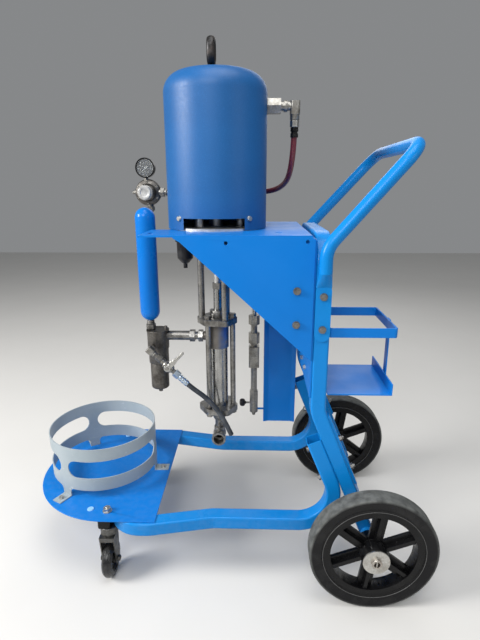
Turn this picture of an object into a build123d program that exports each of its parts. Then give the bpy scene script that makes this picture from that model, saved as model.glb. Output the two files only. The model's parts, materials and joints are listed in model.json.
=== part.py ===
from build123d import *

import os
from math import asin, cos, degrees, radians, sin, sqrt, tan

# Air driven paint pump on a two wheeled trolley with two front casters and a pail ring.
# Millimetres. +Z up, +X towards the handle, the near side is -Y.
# The origin is on the floor, below the middle of the outline.

# Trolley tube: one rectangular section, bent to one radius
TUBE_WIDE = 38
TUBE_DEEP = 35
TUBE_CORNER = 5
TUBE_WALL = 2
TUBE_BEND = 85
SIDE_Y = 181
OUTER_Y = SIDE_Y + TUBE_WIDE / 2

# Axle and rear wheels
AXLE_X = 365
AXLE_Z = 150
AXLE_TUBE_R = 15
AXLE_R = 12
AXLE_HALF = 306
PIN_Y = 302.6
PIN_R = 1.6
WHEEL_R = 150
WHEEL_IN = 236
WHEEL_OUT = 280
HUB_IN = 230
HUB_OUT = 296
RIM_R = 120
RIM_INNER_R = 101
BOSS_R = 32
SPOKE_WIDE = 34
SPOKE_RIB = 9
SPOKE_TURN = 22
RUNNING_FIT = 0.06

# Base frame seen from above
BASE_Z = 165.5
BASE_TOP = BASE_Z + TUBE_DEEP / 2
BASE_SPLIT_X = 150
FLARE_START_X = -20
FLARE_END_X = -175
FLARE_Y = 213
FRONT_RUN_X = -263
FRONT_BEND = 65

# Upright frame and the riser that carries it
LEAN = 22.5
UPRIGHT_X = 231
UPRIGHT_TOP = 880
UPRIGHT_BEND = 60
ARCH_SPLIT_Z = 700
LEG_FOOT = 24
RISER_LONG = 249.5
JOINT_BOLT_S = (146, 228)
STRIP_S = (102, 300)
STRIP_THICK = 5

# Front plate and pail ring
PLATE_THICK = 3
PLATE_TOP = BASE_TOP + PLATE_THICK
PLATE_REAR_X = -158
PLATE_CENTRE_X = -290
PLATE_R = 225
RING_X = -344
RING_R = 144
RING_SHEET = 2.5
RING_TOP = 331
RING_LOW = 211
RING_SLOT = (247, 296)
RING_POSTS = (242, 2, 122)
RING_POST_HALF = 5.5
FOOT_WIDE = 28
FOOT_REACH = 180
FOOT_HOLE_R = 164

# Casters
CASTER_X = -286
CASTER_Y = 188
CASTER_TRAIL = 5
CASTER_R = 47
CASTER_WIDE = 25
CASTER_HEAD = (125, 146)
FORK_CROWN = (114, 125)
FORK_HALF = 16
FORK_SHEET = 3

# Pump bracket, back plate and handle
SHEET = 4
BRACKET_TOP = 877
BRACKET_HALF = 202
BRACKET_REAR = 209.5
BRACKET_FRONT = -120
TONGUE_X = -162
TONGUE_Y = -61
BACK_LOW = 510
BRACKET_BOLT_X = 174
BRACKET_BOLT_Z = (685, 760)
HANDLE_R = 14
HANDLE_Y = OUTER_Y + HANDLE_R
HANDLE_GRIP_X = 415
HANDLE_GRIP_Z = 1058
HANDLE_GRIP_Y = 190
STRAP_WIDE = 34
STRAP_THICK = 4
HANDLE_BOLT_Z = (675, 748)
BOLT_R = 4
NUT_FLATS = 13
NUT_HIGH = 6.5
HEAD_HIGH = 5.3
WASHER_R = 8.4
WASHER_THICK = 1.6
SCREW_R = 3

# Rear shelf, its rail and the side panel
SHELF_TOP = 517
SHELF_REAR = 399
SHELF_NEAR = -190
SHELF_FAR = -3
SHELF_SHEET = 3
LIP_TOP = 542
RAIL = (653, 675)
RAIL_THICK = 4
STRUT_Y = -110
PANEL_X = (112, 209.5)
PANEL_Y = 140
PANEL_Z = (268, 700)
PANEL_SHEET = 3

# Air motor
PUMP_X = -13
COVER_X = -10
COVER_R = 120
COVER_SHEET = 3
COVER_LOW = 878
COVER_SHOULDER = 1178
COVER_TOP = 1234
CROWN_R = 300
CROWN_EDGE = 80
WINDOW_HALF = 70
WINDOW_TOP = 905
EYE_X = -18
EYE_Z = 1276
EYE_R = 24
EYE_HOLE_R = 12
EYE_THICK = 20
COVER_SCREW_Z = 904
COVER_SCREW_TURNS = (48, 132, 228, 312)
BARREL = (930, 1150)
POST_TURNS = (108, 228, 348)
BARREL_R = 100
PISTON_R = 88
MOTOR_ROD_R = 9
INLET_Z = 1153
INLET_X = 174

# Fluid pump
LOBE_R = 12
UPPER_FLANGE = (632, 648)
LOWER_FLANGE = (382, 398)
TIE_R = 8.5
TIE_PITCH = 42
TIE_TURN = 60
LOWER_TIE_R = 7
LOWER_TIE_PITCH = 39
LOWER_TIE_TURN = -7
ROD_R = 11
PUMP_BORE_R = 18
CYLINDER_R = 24.5
COLLAR = (565, 632)
COLLAR_R = 28
SUCTION_Z = 307
SUCTION_MOUTH_Y = -40
SUCTION_R = 19
SUCTION_BORE_R = 14
SUCTION_BORE_LONG = 24

# Outlet, filter, surge tank and drain
OUTLET_Z = 594
FILTER_X = -174
FILTER_R = 28.5
FILTER_TOP = 611
BOWL_R = 24
TANK_X = -191
TANK_R = 25
TANK = (636, 926)
DRAIN_Y = -58
DRAIN_START = (-183, 571)
DRAIN_SLOPE = -44.7
DRAIN_PIVOT = 62
DRAIN_LONG = 131
DRAIN_HOSE_R = 6.5

# Air line
AIR_Y = 140
REGULATOR_X = -210
REGULATOR_Z = 960
AIR_HOSE_R = 7
AIR_FILTER_X = -115
AIR_PIPE_Z = 847
DROP_X = 82

parts_made = []


def write(piece, label):
    """Name a finished piece and write its STEP file."""
    piece.part.label = label
    export_step(piece.part, f"parts/{label}.step")
    parts_made.append(label)


def lean_plane(along, off, y):
    """Plane across the leaning riser: along it from its lower corner, off to its rear side."""
    lean = radians(LEAN)
    x = RISER_X - along * sin(lean) + off * cos(lean)
    z = BASE_Z + along * cos(lean) + off * sin(lean)
    return Plane((x, y, z), x_dir=(0, 1, 0), z_dir=(cos(lean), 0, sin(lean)))


def tube_section(plane):
    """Hollow rectangular tube section, drawn on a plane across the tube."""
    with BuildSketch(plane) as section:
        RectangleRounded(TUBE_WIDE, TUBE_DEEP, TUBE_CORNER)
        RectangleRounded(TUBE_WIDE - 2 * TUBE_WALL, TUBE_DEEP - 2 * TUBE_WALL,
                         TUBE_CORNER - TUBE_WALL, mode=Mode.SUBTRACT)
    return section.sketch


def wire_path(points, radii):
    """Path of straight runs joined by tangent arcs."""
    with BuildLine() as line:
        FilletPolyline(*points, radius=radii)
    return line.wires()[0]


def cord_radii(name, points):
    """Arc radius at each inner point of a hose: as large as its two runs allow."""
    route = [Vector(*point) for point in points]
    radii = []
    for before, here, after in zip(route, route[1:], route[2:]):
        turn = (here - before).get_angle(after - here)
        shorter = min((here - before).length, (after - here).length)
        radii.append(0.45 * shorter / tan(radians(turn / 2)))
    print(name, "arc radii", [round(radius) for radius in radii])
    return radii


def hex_bolt(seat, grip, radius=BOLT_R):
    """Bolt with a washer, its head standing on the seat plane and its shank going down."""
    with BuildPart() as bolt:
        with BuildSketch(seat):
            Circle(radius * WASHER_R / BOLT_R)
        extrude(amount=WASHER_THICK)
        with BuildSketch(seat.offset(WASHER_THICK)):
            RegularPolygon(radius * NUT_FLATS / BOLT_R / 2, 6, major_radius=False)
        extrude(amount=radius * HEAD_HIGH / BOLT_R)
        with BuildSketch(seat):
            Circle(radius)
        extrude(amount=-grip)
    return bolt.part


def hex_nut(seat, radius=BOLT_R):
    """Nut standing on the seat plane."""
    with BuildPart() as nut:
        with BuildSketch(seat):
            RegularPolygon(radius * NUT_FLATS / BOLT_R / 2, 6, major_radius=False)
            Circle(radius, mode=Mode.SUBTRACT)
        extrude(amount=radius * NUT_HIGH / BOLT_R)
    return nut.part


def side_plane(x, y, z, outward):
    """Plane facing along Y: outward is -1 on the near side and 1 on the far side."""
    return Plane((x, y, z), x_dir=(1, 0, 0), z_dir=(0, outward, 0))


def cover_screw_plane(turn, out):
    """Plane facing outward at a distance from the motor cover's axis."""
    way = (cos(radians(turn)), sin(radians(turn)), 0)
    return Plane((COVER_X + out * way[0], out * way[1], COVER_SCREW_Z), x_dir=(0, 0, 1), z_dir=way)


os.makedirs("parts", exist_ok=True)

# The riser stands face to face with the leaning leg, so its axis is one tube depth forward.
RISER_X = AXLE_X - (BASE_Z - AXLE_Z) * tan(radians(LEAN)) - TUBE_DEEP / cos(radians(LEAN))
KNEE_Z = AXLE_Z + (AXLE_X - UPRIGHT_X) / tan(radians(LEAN))
RISER_TOP_X = RISER_X - RISER_LONG * sin(radians(LEAN))
RISER_TOP_Z = BASE_Z + RISER_LONG * cos(radians(LEAN))

# ---------------------------------------------------------------- base tube

riser_path = wire_path(
    [(RISER_TOP_X, -SIDE_Y, RISER_TOP_Z), (RISER_X, -SIDE_Y, BASE_Z), (BASE_SPLIT_X, -SIDE_Y, BASE_Z)],
    TUBE_BEND)
base_path = wire_path(
    [(BASE_SPLIT_X, -SIDE_Y, BASE_Z), (FLARE_START_X, -SIDE_Y, BASE_Z), (FLARE_END_X, -FLARE_Y, BASE_Z),
     (FRONT_RUN_X, -FLARE_Y, BASE_Z), (FRONT_RUN_X, 0, BASE_Z)],
    [TUBE_BEND, TUBE_BEND, FRONT_BEND])
riser_section = tube_section(Plane((RISER_TOP_X, -SIDE_Y, RISER_TOP_Z), x_dir=(0, 1, 0),
                                   z_dir=(sin(radians(LEAN)), 0, -cos(radians(LEAN)))))
base_section = tube_section(Plane((BASE_SPLIT_X, -SIDE_Y, BASE_Z), x_dir=(0, 1, 0), z_dir=(-1, 0, 0)))
with BuildPart() as base_tube:
    sweep(riser_section, path=riser_path)
    sweep(base_section, path=base_path)
    for along in JOINT_BOLT_S:
        with BuildSketch(lean_plane(along, -TUBE_DEEP, -SIDE_Y)):
            Circle(BOLT_R)
        extrude(amount=2 * TUBE_DEEP, mode=Mode.SUBTRACT)
    mirror(about=Plane.XZ)
write(base_tube, "base_tube")

# ------------------------------------------------------------ upright frame

leg_path = wire_path(
    [(AXLE_X + LEG_FOOT * sin(radians(LEAN)), -SIDE_Y, AXLE_Z - LEG_FOOT * cos(radians(LEAN))),
     (UPRIGHT_X, -SIDE_Y, KNEE_Z), (UPRIGHT_X, -SIDE_Y, ARCH_SPLIT_Z)],
    TUBE_BEND)
arch_z = UPRIGHT_TOP - TUBE_WIDE / 2
arch_path = wire_path(
    [(UPRIGHT_X, -SIDE_Y, ARCH_SPLIT_Z), (UPRIGHT_X, -SIDE_Y, arch_z), (UPRIGHT_X, 0, arch_z)],
    UPRIGHT_BEND)
leg_section = tube_section(Plane(leg_path.position_at(0), x_dir=(0, 1, 0), z_dir=leg_path.tangent_at(0)))
arch_section = tube_section(Plane((UPRIGHT_X, -SIDE_Y, ARCH_SPLIT_Z), x_dir=(0, 1, 0)))
with BuildPart() as upright_tube:
    sweep(leg_section, path=leg_path)
    sweep(arch_section, path=arch_path)
    with BuildSketch(side_plane(AXLE_X, -OUTER_Y - 1, AXLE_Z, 1)):
        Circle(AXLE_TUBE_R)
    extrude(amount=TUBE_WIDE + 2, mode=Mode.SUBTRACT)
    with BuildSketch(Plane.XZ.offset(OUTER_Y + 1)):
        with Locations(*[(UPRIGHT_X, z) for z in HANDLE_BOLT_Z]):
            Circle(BOLT_R)
    extrude(amount=-TUBE_WIDE - 2, mode=Mode.SUBTRACT)
    for along in JOINT_BOLT_S:
        with BuildSketch(lean_plane(along, 0, -SIDE_Y)):
            Circle(BOLT_R)
        extrude(amount=2 * TUBE_DEEP, mode=Mode.SUBTRACT)
    mirror(about=Plane.XZ)
write(upright_tube, "upright_tube")

strip_long = STRIP_S[1] - STRIP_S[0]
strip_middle = (STRIP_S[0] + STRIP_S[1]) / 2
with BuildPart() as joint_strips:
    for y in (-SIDE_Y, SIDE_Y):
        with BuildSketch(lean_plane(strip_middle, 1.5 * TUBE_DEEP, y)):
            RectangleRounded(30, strip_long, 6)
            with Locations(*[(0, along - strip_middle) for along in JOINT_BOLT_S]):
                Circle(BOLT_R, mode=Mode.SUBTRACT)
        extrude(amount=STRIP_THICK)
write(joint_strips, "joint_strips")

# ------------------------------------------------------- axle and rear wheels

with BuildPart() as axle_tube:
    with BuildSketch(side_plane(AXLE_X, -HUB_IN + 4, AXLE_Z, 1)):
        Circle(AXLE_TUBE_R)
        Circle(AXLE_R, mode=Mode.SUBTRACT)
    extrude(amount=2 * (HUB_IN - 4))
write(axle_tube, "axle_tube")

with BuildPart() as axle_shaft:
    with BuildSketch(side_plane(AXLE_X, -AXLE_HALF, AXLE_Z, 1)):
        Circle(AXLE_R)
    extrude(amount=2 * AXLE_HALF)
    for y in (-PIN_Y, PIN_Y):
        with BuildSketch(Plane.XY.offset(AXLE_Z - AXLE_R - 1)):
            with Locations((AXLE_X, y)):
                Circle(PIN_R)
        extrude(amount=2 * AXLE_R + 2, mode=Mode.SUBTRACT)
    chamfer(axle_shaft.faces().filter_by(Axis.Y).edges().filter_by(GeomType.CIRCLE), 1)
    for y, depth in ((-AXLE_HALF, 14), (AXLE_HALF, -14)):
        with BuildSketch(side_plane(AXLE_X, y, AXLE_Z, 1)):
            Circle(7.5)
        extrude(amount=depth, mode=Mode.SUBTRACT)
write(axle_shaft, "axle_shaft")

with BuildPart() as axle_retainers:
    for side in (-1, 1):
        with BuildSketch(side_plane(AXLE_X, side * (HUB_OUT + 0.5), AXLE_Z, side)):
            Circle(31)
            Circle(AXLE_R, mode=Mode.SUBTRACT)
        extrude(amount=3)
        with BuildSketch(Plane.XY.offset(AXLE_Z - 16)):
            with Locations((AXLE_X, side * PIN_Y)):
                Circle(PIN_R)
        extrude(amount=32)
write(axle_retainers, "axle_retainers")


def wheel_tyre(inner):
    """Solid rubber tyre with a rounded tread, its inner side at y = inner."""
    outer = inner + WHEEL_OUT - WHEEL_IN
    shoulder = WHEEL_R - 5
    with BuildPart() as tyre:
        with BuildSketch(Plane.YZ.offset(AXLE_X)):
            with BuildLine():
                Polyline((inner, AXLE_Z + shoulder), (inner + 4, AXLE_Z + RIM_R), (outer - 4, AXLE_Z + RIM_R),
                         (outer, AXLE_Z + shoulder))
                ThreePointArc((outer, AXLE_Z + shoulder), (outer - 1.5, AXLE_Z + WHEEL_R - 1.5),
                              (outer - 5, AXLE_Z + WHEEL_R))
                Line((outer - 5, AXLE_Z + WHEEL_R), (inner + 5, AXLE_Z + WHEEL_R))
                ThreePointArc((inner + 5, AXLE_Z + WHEEL_R), (inner + 1.5, AXLE_Z + WHEEL_R - 1.5),
                              (inner, AXLE_Z + shoulder))
            make_face()
        revolve(axis=Axis((AXLE_X, 0, AXLE_Z), (0, 1, 0)))
    return tyre.part


def wheel_hub():
    """Near wheel's moulding: rim, six open spokes with a raised rib each, and a long bored boss."""
    middle = -(WHEEL_IN + WHEEL_OUT) / 2
    rim_half = (WHEEL_OUT - WHEEL_IN) / 2 - 4
    with BuildPart() as hub:
        with BuildSketch(side_plane(AXLE_X, middle - rim_half, AXLE_Z, 1)):
            Circle(RIM_R)
            Circle(RIM_INNER_R, mode=Mode.SUBTRACT)
        extrude(amount=2 * rim_half)
        for width, half_deep in ((SPOKE_WIDE, 4), (SPOKE_RIB, 15)):
            with BuildSketch(side_plane(AXLE_X, middle - half_deep, AXLE_Z, 1)):
                with PolarLocations((RIM_INNER_R + BOSS_R) / 2, 6, start_angle=-SPOKE_TURN):
                    Rectangle(RIM_INNER_R - BOSS_R + 8, width)
            extrude(amount=2 * half_deep)
        with BuildSketch(side_plane(AXLE_X, -HUB_OUT, AXLE_Z, 1)):
            Circle(BOSS_R)
        extrude(amount=HUB_OUT - HUB_IN)
        with BuildSketch(side_plane(AXLE_X, -HUB_OUT - 1, AXLE_Z, 1)):
            Circle(AXLE_R + RUNNING_FIT)
        extrude(amount=HUB_OUT - HUB_IN + 2, mode=Mode.SUBTRACT)
    return hub.part


tyre_solid = wheel_tyre(-WHEEL_OUT)
hub_solid = wheel_hub()
with BuildPart() as wheel_near_tyre:
    add(tyre_solid)
write(wheel_near_tyre, "wheel_near_tyre")
with BuildPart() as wheel_near_hub:
    add(hub_solid)
write(wheel_near_hub, "wheel_near_hub")
with BuildPart() as wheel_far_tyre:
    mirror(tyre_solid, about=Plane.XZ)
write(wheel_far_tyre, "wheel_far_tyre")
with BuildPart() as wheel_far_hub:
    mirror(hub_solid, about=Plane.XZ)
write(wheel_far_hub, "wheel_far_hub")

# --------------------------------------------- front plate, plugs, pail ring

with BuildPart() as front_plate:
    with BuildSketch(Plane.XY.offset(BASE_TOP)):
        with BuildLine():
            ThreePointArc((PLATE_CENTRE_X, -PLATE_R), (PLATE_CENTRE_X - PLATE_R, 0), (PLATE_CENTRE_X, PLATE_R))
            Polyline((PLATE_CENTRE_X, PLATE_R), (PLATE_REAR_X, PLATE_R), (PLATE_REAR_X, -PLATE_R),
                     (PLATE_CENTRE_X, -PLATE_R))
        make_face()
        with Locations((CASTER_X, -CASTER_Y), (CASTER_X, CASTER_Y), (-331, -182), (-331, 182)):
            Circle(6, mode=Mode.SUBTRACT)
        for post in RING_POSTS:
            with Locations((RING_X + FOOT_HOLE_R * cos(radians(post)), FOOT_HOLE_R * sin(radians(post)))):
                Circle(SCREW_R, mode=Mode.SUBTRACT)
    extrude(amount=PLATE_THICK)
write(front_plate, "front_plate")

with BuildPart() as plate_plugs:
    for y in (-182, 182):
        with BuildSketch(Plane.XY.offset(BASE_TOP)):
            with Locations((-331, y)):
                Circle(5.9)
        extrude(amount=PLATE_THICK)
        with BuildSketch(Plane.XY.offset(PLATE_TOP)):
            with Locations((-331, y)):
                Circle(8.5)
        extrude(amount=1.8, taper=30)
write(plate_plugs, "plate_plugs")

slot_high = RING_SLOT[1] - RING_SLOT[0]
slot_arc = 120 - 2 * RING_POST_HALF
end_turn = degrees(slot_high / 2 / RING_R)
with BuildPart() as pail_hoop:
    with BuildSketch(Plane.XY.offset(RING_LOW)):
        with Locations((RING_X, 0)):
            Circle(RING_R)
            Circle(RING_R - RING_SHEET, mode=Mode.SUBTRACT)
    extrude(amount=RING_TOP - RING_LOW)
    for post in RING_POSTS:
        # The slot between this post and the next: a swept band with two round ends
        begin = post + RING_POST_HALF + end_turn
        for turn in (begin, begin + slot_arc - 2 * end_turn):
            outward = (cos(radians(turn)), sin(radians(turn)), 0)
            with BuildSketch(Plane((RING_X + 120 * outward[0], 120 * outward[1], sum(RING_SLOT) / 2),
                                   x_dir=(0, 0, 1), z_dir=outward)):
                Circle(slot_high / 2)
            extrude(amount=40, mode=Mode.SUBTRACT)
        with BuildSketch(Plane.XY.offset(RING_SLOT[0])):
            with BuildLine():
                arc_in = CenterArc((RING_X, 0), RING_R - 10, begin, slot_arc - 2 * end_turn)
                arc_out = CenterArc((RING_X, 0), RING_R + 10, begin, slot_arc - 2 * end_turn)
                Line(arc_in @ 0, arc_out @ 0)
                Line(arc_in @ 1, arc_out @ 1)
            make_face()
        extrude(amount=slot_high, mode=Mode.SUBTRACT)
    for post in RING_POSTS:
        # The leg below the post and the foot bent outward on to the plate
        outward = (cos(radians(post)), sin(radians(post)), 0)
        leg_plane = Plane((RING_X, 0, 0), x_dir=outward, z_dir=(outward[1], -outward[0], 0))
        with BuildSketch(leg_plane.offset(-FOOT_WIDE / 2)):
            with BuildLine():
                Polyline((RING_R - RING_SHEET - 0.7, RING_LOW + 3), (RING_R - RING_SHEET - 0.7, PLATE_TOP),
                         (FOOT_REACH, PLATE_TOP), (FOOT_REACH, PLATE_TOP + RING_SHEET),
                         (RING_R - 0.7, PLATE_TOP + RING_SHEET), (RING_R - 0.7, RING_LOW + 3), close=True)
            make_face()
        extrude(amount=FOOT_WIDE)
        with BuildSketch(Plane.XY.offset(PLATE_TOP - 1)):
            with Locations((RING_X + FOOT_HOLE_R * outward[0], FOOT_HOLE_R * outward[1])):
                Circle(SCREW_R)
        extrude(amount=RING_SHEET + 2, mode=Mode.SUBTRACT)
write(pail_hoop, "pail_hoop")

# ------------------------------------------------------------------- casters

with BuildPart() as caster_stems:
    for y in (-CASTER_Y, CASTER_Y):
        with BuildSketch(Plane.XY.offset(CASTER_HEAD[1] - 12)):
            with Locations((CASTER_X, y)):
                Circle(BOLT_R)
        extrude(amount=PLATE_TOP + 14 - CASTER_HEAD[1] + 12)
        with BuildSketch(Plane.XY.offset(PLATE_TOP)):
            with Locations((CASTER_X, y)):
                Circle(11.5)
        extrude(amount=2)
        with BuildSketch(Plane.XY.offset(PLATE_TOP + 2)):
            with Locations((CASTER_X, y)):
                RegularPolygon(8.5, 6, major_radius=False)
        extrude(amount=8)
write(caster_stems, "caster_stems")

with BuildPart() as caster_spacers:
    for side in (-1, 1):
        with BuildSketch(Plane.XY.offset(CASTER_HEAD[1] + 0.3)):
            with Locations((CASTER_X - 7, side * (CASTER_Y + 3))):
                RectangleRounded(32, 30, 6)
            with Locations((CASTER_X, side * CASTER_Y)):
                Circle(BOLT_R, mode=Mode.SUBTRACT)
        extrude(amount=BASE_TOP - CASTER_HEAD[1] - 0.3)
write(caster_spacers, "caster_spacers")


def caster_fork(side):
    """Swivel head, crown, two cheeks and the wheel bolt: the fork trails outward in Y."""
    wheel_y = side * (CASTER_Y + CASTER_TRAIL)
    with BuildPart() as fork:
        with BuildSketch(Plane.XY.offset(CASTER_HEAD[0])):
            with Locations((CASTER_X, side * CASTER_Y)):
                Circle(21)
        extrude(amount=CASTER_HEAD[1] - CASTER_HEAD[0])
        fillet(fork.faces().sort_by(Axis.Z)[-1].edges(), 4)
        with BuildSketch(Plane.XY.offset(FORK_CROWN[0])):
            with Locations((CASTER_X, side * (CASTER_Y + 6))):
                RectangleRounded(2 * (FORK_HALF + FORK_SHEET), 44, 6)
        extrude(amount=FORK_CROWN[1] - FORK_CROWN[0])
        for x in (CASTER_X - FORK_HALF - FORK_SHEET, CASTER_X + FORK_HALF):
            with BuildSketch(Plane.YZ.offset(x)):
                with BuildLine():
                    Polyline((side * (CASTER_Y - 14), FORK_CROWN[1] - 1),
                             (side * (CASTER_Y - 14), FORK_CROWN[0] - 8), (wheel_y - side * 10, CASTER_R - 9),
                             (wheel_y + side * 10, CASTER_R - 9), (side * (CASTER_Y + 26), FORK_CROWN[1] - 1), close=True)
                make_face()
            extrude(amount=FORK_SHEET)
        with BuildSketch(Plane.XY.offset(CASTER_HEAD[1] - 20)):
            with Locations((CASTER_X, side * CASTER_Y)):
                Circle(BOLT_R + RUNNING_FIT)
        extrude(amount=30, mode=Mode.SUBTRACT)
        with BuildSketch(Plane.YZ.offset(CASTER_X - FORK_HALF - FORK_SHEET - 7)):
            with Locations((wheel_y, CASTER_R)):
                Circle(4)
        extrude(amount=2 * (FORK_HALF + FORK_SHEET + 7))
        for x in (CASTER_X - FORK_HALF - FORK_SHEET - 6, CASTER_X + FORK_HALF + FORK_SHEET):
            with BuildSketch(Plane.YZ.offset(x)):
                with Locations((wheel_y, CASTER_R)):
                    RegularPolygon(6.5, 6, major_radius=False)
            extrude(amount=6)
    return fork.part


def caster_wheel(side):
    """Caster wheel with a rounded tread and a boss that runs on the wheel bolt."""
    wheel_y = side * (CASTER_Y + CASTER_TRAIL)
    half = CASTER_WIDE / 2
    with BuildPart() as wheel:
        with BuildSketch(Plane.XZ.offset(-wheel_y)):
            with BuildLine():
                Polyline((CASTER_X - half, 2 * CASTER_R - 9), (CASTER_X - half, CASTER_R + 29),
                         (CASTER_X - half + 5, CASTER_R + 27), (CASTER_X - half + 5, CASTER_R + 14),
                         (CASTER_X - half - 2, CASTER_R + 12),
                         (CASTER_X - half - 2, CASTER_R + 4 + RUNNING_FIT),
                         (CASTER_X + half + 2, CASTER_R + 4 + RUNNING_FIT),
                         (CASTER_X + half + 2, CASTER_R + 12),
                         (CASTER_X + half - 5, CASTER_R + 14), (CASTER_X + half - 5, CASTER_R + 27),
                         (CASTER_X + half, CASTER_R + 29), (CASTER_X + half, 2 * CASTER_R - 9))
                ThreePointArc((CASTER_X + half, 2 * CASTER_R - 9), (CASTER_X, 2 * CASTER_R),
                              (CASTER_X - half, 2 * CASTER_R - 9))
            make_face()
        revolve(axis=Axis((0, wheel_y, CASTER_R), (1, 0, 0)))
    return wheel.part


fork_near_solid = caster_fork(-1)
fork_far_solid = caster_fork(1)
rolling_near_solid = caster_wheel(-1)
rolling_far_solid = caster_wheel(1)
with BuildPart() as caster_near_fork:
    add(fork_near_solid)
write(caster_near_fork, "caster_near_fork")
with BuildPart() as caster_near_wheel:
    add(rolling_near_solid)
write(caster_near_wheel, "caster_near_wheel")
with BuildPart() as caster_far_fork:
    add(fork_far_solid)
write(caster_far_fork, "caster_far_fork")
with BuildPart() as caster_far_wheel:
    add(rolling_far_solid)
write(caster_far_wheel, "caster_far_wheel")

# ------------------------------------------- pump bracket and back plate

with BuildPart() as pump_bracket:
    with BuildSketch(Plane.XY.offset(BRACKET_TOP - SHEET)):
        with BuildLine():
            Polyline((BRACKET_REAR, -BRACKET_HALF), (TONGUE_X, -BRACKET_HALF), (TONGUE_X, TONGUE_Y),
                     (BRACKET_FRONT, TONGUE_Y), (BRACKET_FRONT, BRACKET_HALF),
                     (BRACKET_REAR, BRACKET_HALF), close=True)
        make_face()
        with Locations((PUMP_X, 0)):
            Circle(22, mode=Mode.SUBTRACT)
            with PolarLocations(TIE_PITCH, 3, start_angle=TIE_TURN):
                Circle(TIE_R + 0.5, mode=Mode.SUBTRACT)
        with Locations((136, -134)):
            Circle(7.5, mode=Mode.SUBTRACT)
        with Locations((TONGUE_X + 16, -150)):
            SlotOverall(34, 8, rotation=90, mode=Mode.SUBTRACT)
    extrude(amount=SHEET)
    for y in (-BRACKET_HALF, BRACKET_HALF - SHEET):
        with BuildSketch(Plane.XZ.offset(-y - SHEET)):
            with BuildLine():
                Polyline((-91, BRACKET_TOP), (-88, BRACKET_TOP - 6), (-74, BRACKET_TOP - 14), (208, 602),
                         (BRACKET_REAR, 602), (BRACKET_REAR, BRACKET_TOP), close=True)
            make_face()
            with Locations((23, 861), (193, 864)):
                Circle(BOLT_R, mode=Mode.SUBTRACT)
            with Locations(*[(BRACKET_BOLT_X, z) for z in BRACKET_BOLT_Z]):
                Circle(BOLT_R, mode=Mode.SUBTRACT)
        extrude(amount=SHEET)
    with BuildSketch(Plane.XZ.offset(-BRACKET_HALF - 1)):
        with Locations((BRACKET_REAR, BRACKET_TOP)):
            Circle(7)
    extrude(amount=2 * BRACKET_HALF + 2, mode=Mode.SUBTRACT)
write(pump_bracket, "pump_bracket")

flange_y = BRACKET_HALF - SHEET
with BuildPart() as back_plate:
    with BuildSketch(Plane.YZ.offset(BRACKET_REAR)):
        with Locations((0, (BACK_LOW + 868) / 2)):
            Rectangle(2 * flange_y, 868 - BACK_LOW)
        with Locations((-95, 545), (-25, 545), (PANEL_Y + 14, 560), (PANEL_Y + 14, 660)):
            Circle(SCREW_R, mode=Mode.SUBTRACT)
    extrude(amount=SHEET)
    for y in (-flange_y, flange_y - SHEET):
        with BuildSketch(Plane.XZ.offset(-y - SHEET)):
            with Locations(((150 + BRACKET_REAR) / 2, 730)):
                Rectangle(BRACKET_REAR - 150, 150)
            with Locations(*[(BRACKET_BOLT_X, z) for z in BRACKET_BOLT_Z]):
                Circle(BOLT_R, mode=Mode.SUBTRACT)
        extrude(amount=SHEET)
write(back_plate, "back_plate")

# ------------------------------------------------------------------- handle

handle_path = wire_path(
    [(UPRIGHT_X, -HANDLE_Y, 800), (UPRIGHT_X, -HANDLE_Y, 852), (HANDLE_GRIP_X, -HANDLE_GRIP_Y, HANDLE_GRIP_Z),
     (HANDLE_GRIP_X, 0, HANDLE_GRIP_Z)],
    [60, 55])
with BuildPart() as handle:
    with BuildSketch(Plane((UPRIGHT_X, -HANDLE_Y, 800))):
        Circle(HANDLE_R)
        Circle(HANDLE_R - TUBE_WALL, mode=Mode.SUBTRACT)
    sweep(path=handle_path)
    with BuildSketch(Plane((UPRIGHT_X, -HANDLE_Y, 800))):
        Circle(HANDLE_R)
    with BuildSketch(Plane((UPRIGHT_X, -OUTER_Y - STRAP_THICK / 2, 768))):
        SlotOverall(STRAP_WIDE, STRAP_THICK)
    loft()
    with BuildSketch(Plane.XZ.offset(OUTER_Y)):
        with Locations((UPRIGHT_X, (768 + 655) / 2)):
            SlotOverall(768 - 655 + STRAP_WIDE / 2, STRAP_WIDE, rotation=90)
        with Locations((UPRIGHT_X, 768 + STRAP_WIDE / 2)):
            Rectangle(STRAP_WIDE, STRAP_WIDE, mode=Mode.SUBTRACT)
        with Locations(*[(UPRIGHT_X, z) for z in HANDLE_BOLT_Z]):
            Circle(BOLT_R, mode=Mode.SUBTRACT)
    extrude(amount=STRAP_THICK)
    mirror(about=Plane.XZ)
write(handle, "handle")

# ------------------------------------------------------- bolts, nuts, screws

bolts = []
for side in (-1, 1):
    for z in HANDLE_BOLT_Z:
        bolts.append(hex_bolt(side_plane(UPRIGHT_X, side * (OUTER_Y + STRAP_THICK), z, side), 52))
        bolts.append(hex_nut(side_plane(UPRIGHT_X, side * (OUTER_Y - TUBE_WIDE), z, -side)))
    for z in BRACKET_BOLT_Z:
        bolts.append(hex_bolt(side_plane(BRACKET_BOLT_X, side * BRACKET_HALF, z, side), 18))
        bolts.append(hex_nut(side_plane(BRACKET_BOLT_X, side * (flange_y - SHEET), z, -side)))
    for along in JOINT_BOLT_S:
        front = lean_plane(along, -TUBE_DEEP / 2, side * SIDE_Y)
        bolts.append(hex_bolt(Plane(front.origin, x_dir=(0, 1, 0), z_dir=-front.z_dir), 86))
        bolts.append(hex_nut(lean_plane(along, 1.5 * TUBE_DEEP + STRIP_THICK, side * SIDE_Y)))
with BuildPart() as frame_bolts:
    add(bolts)
write(frame_bolts, "frame_bolts")

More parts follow.
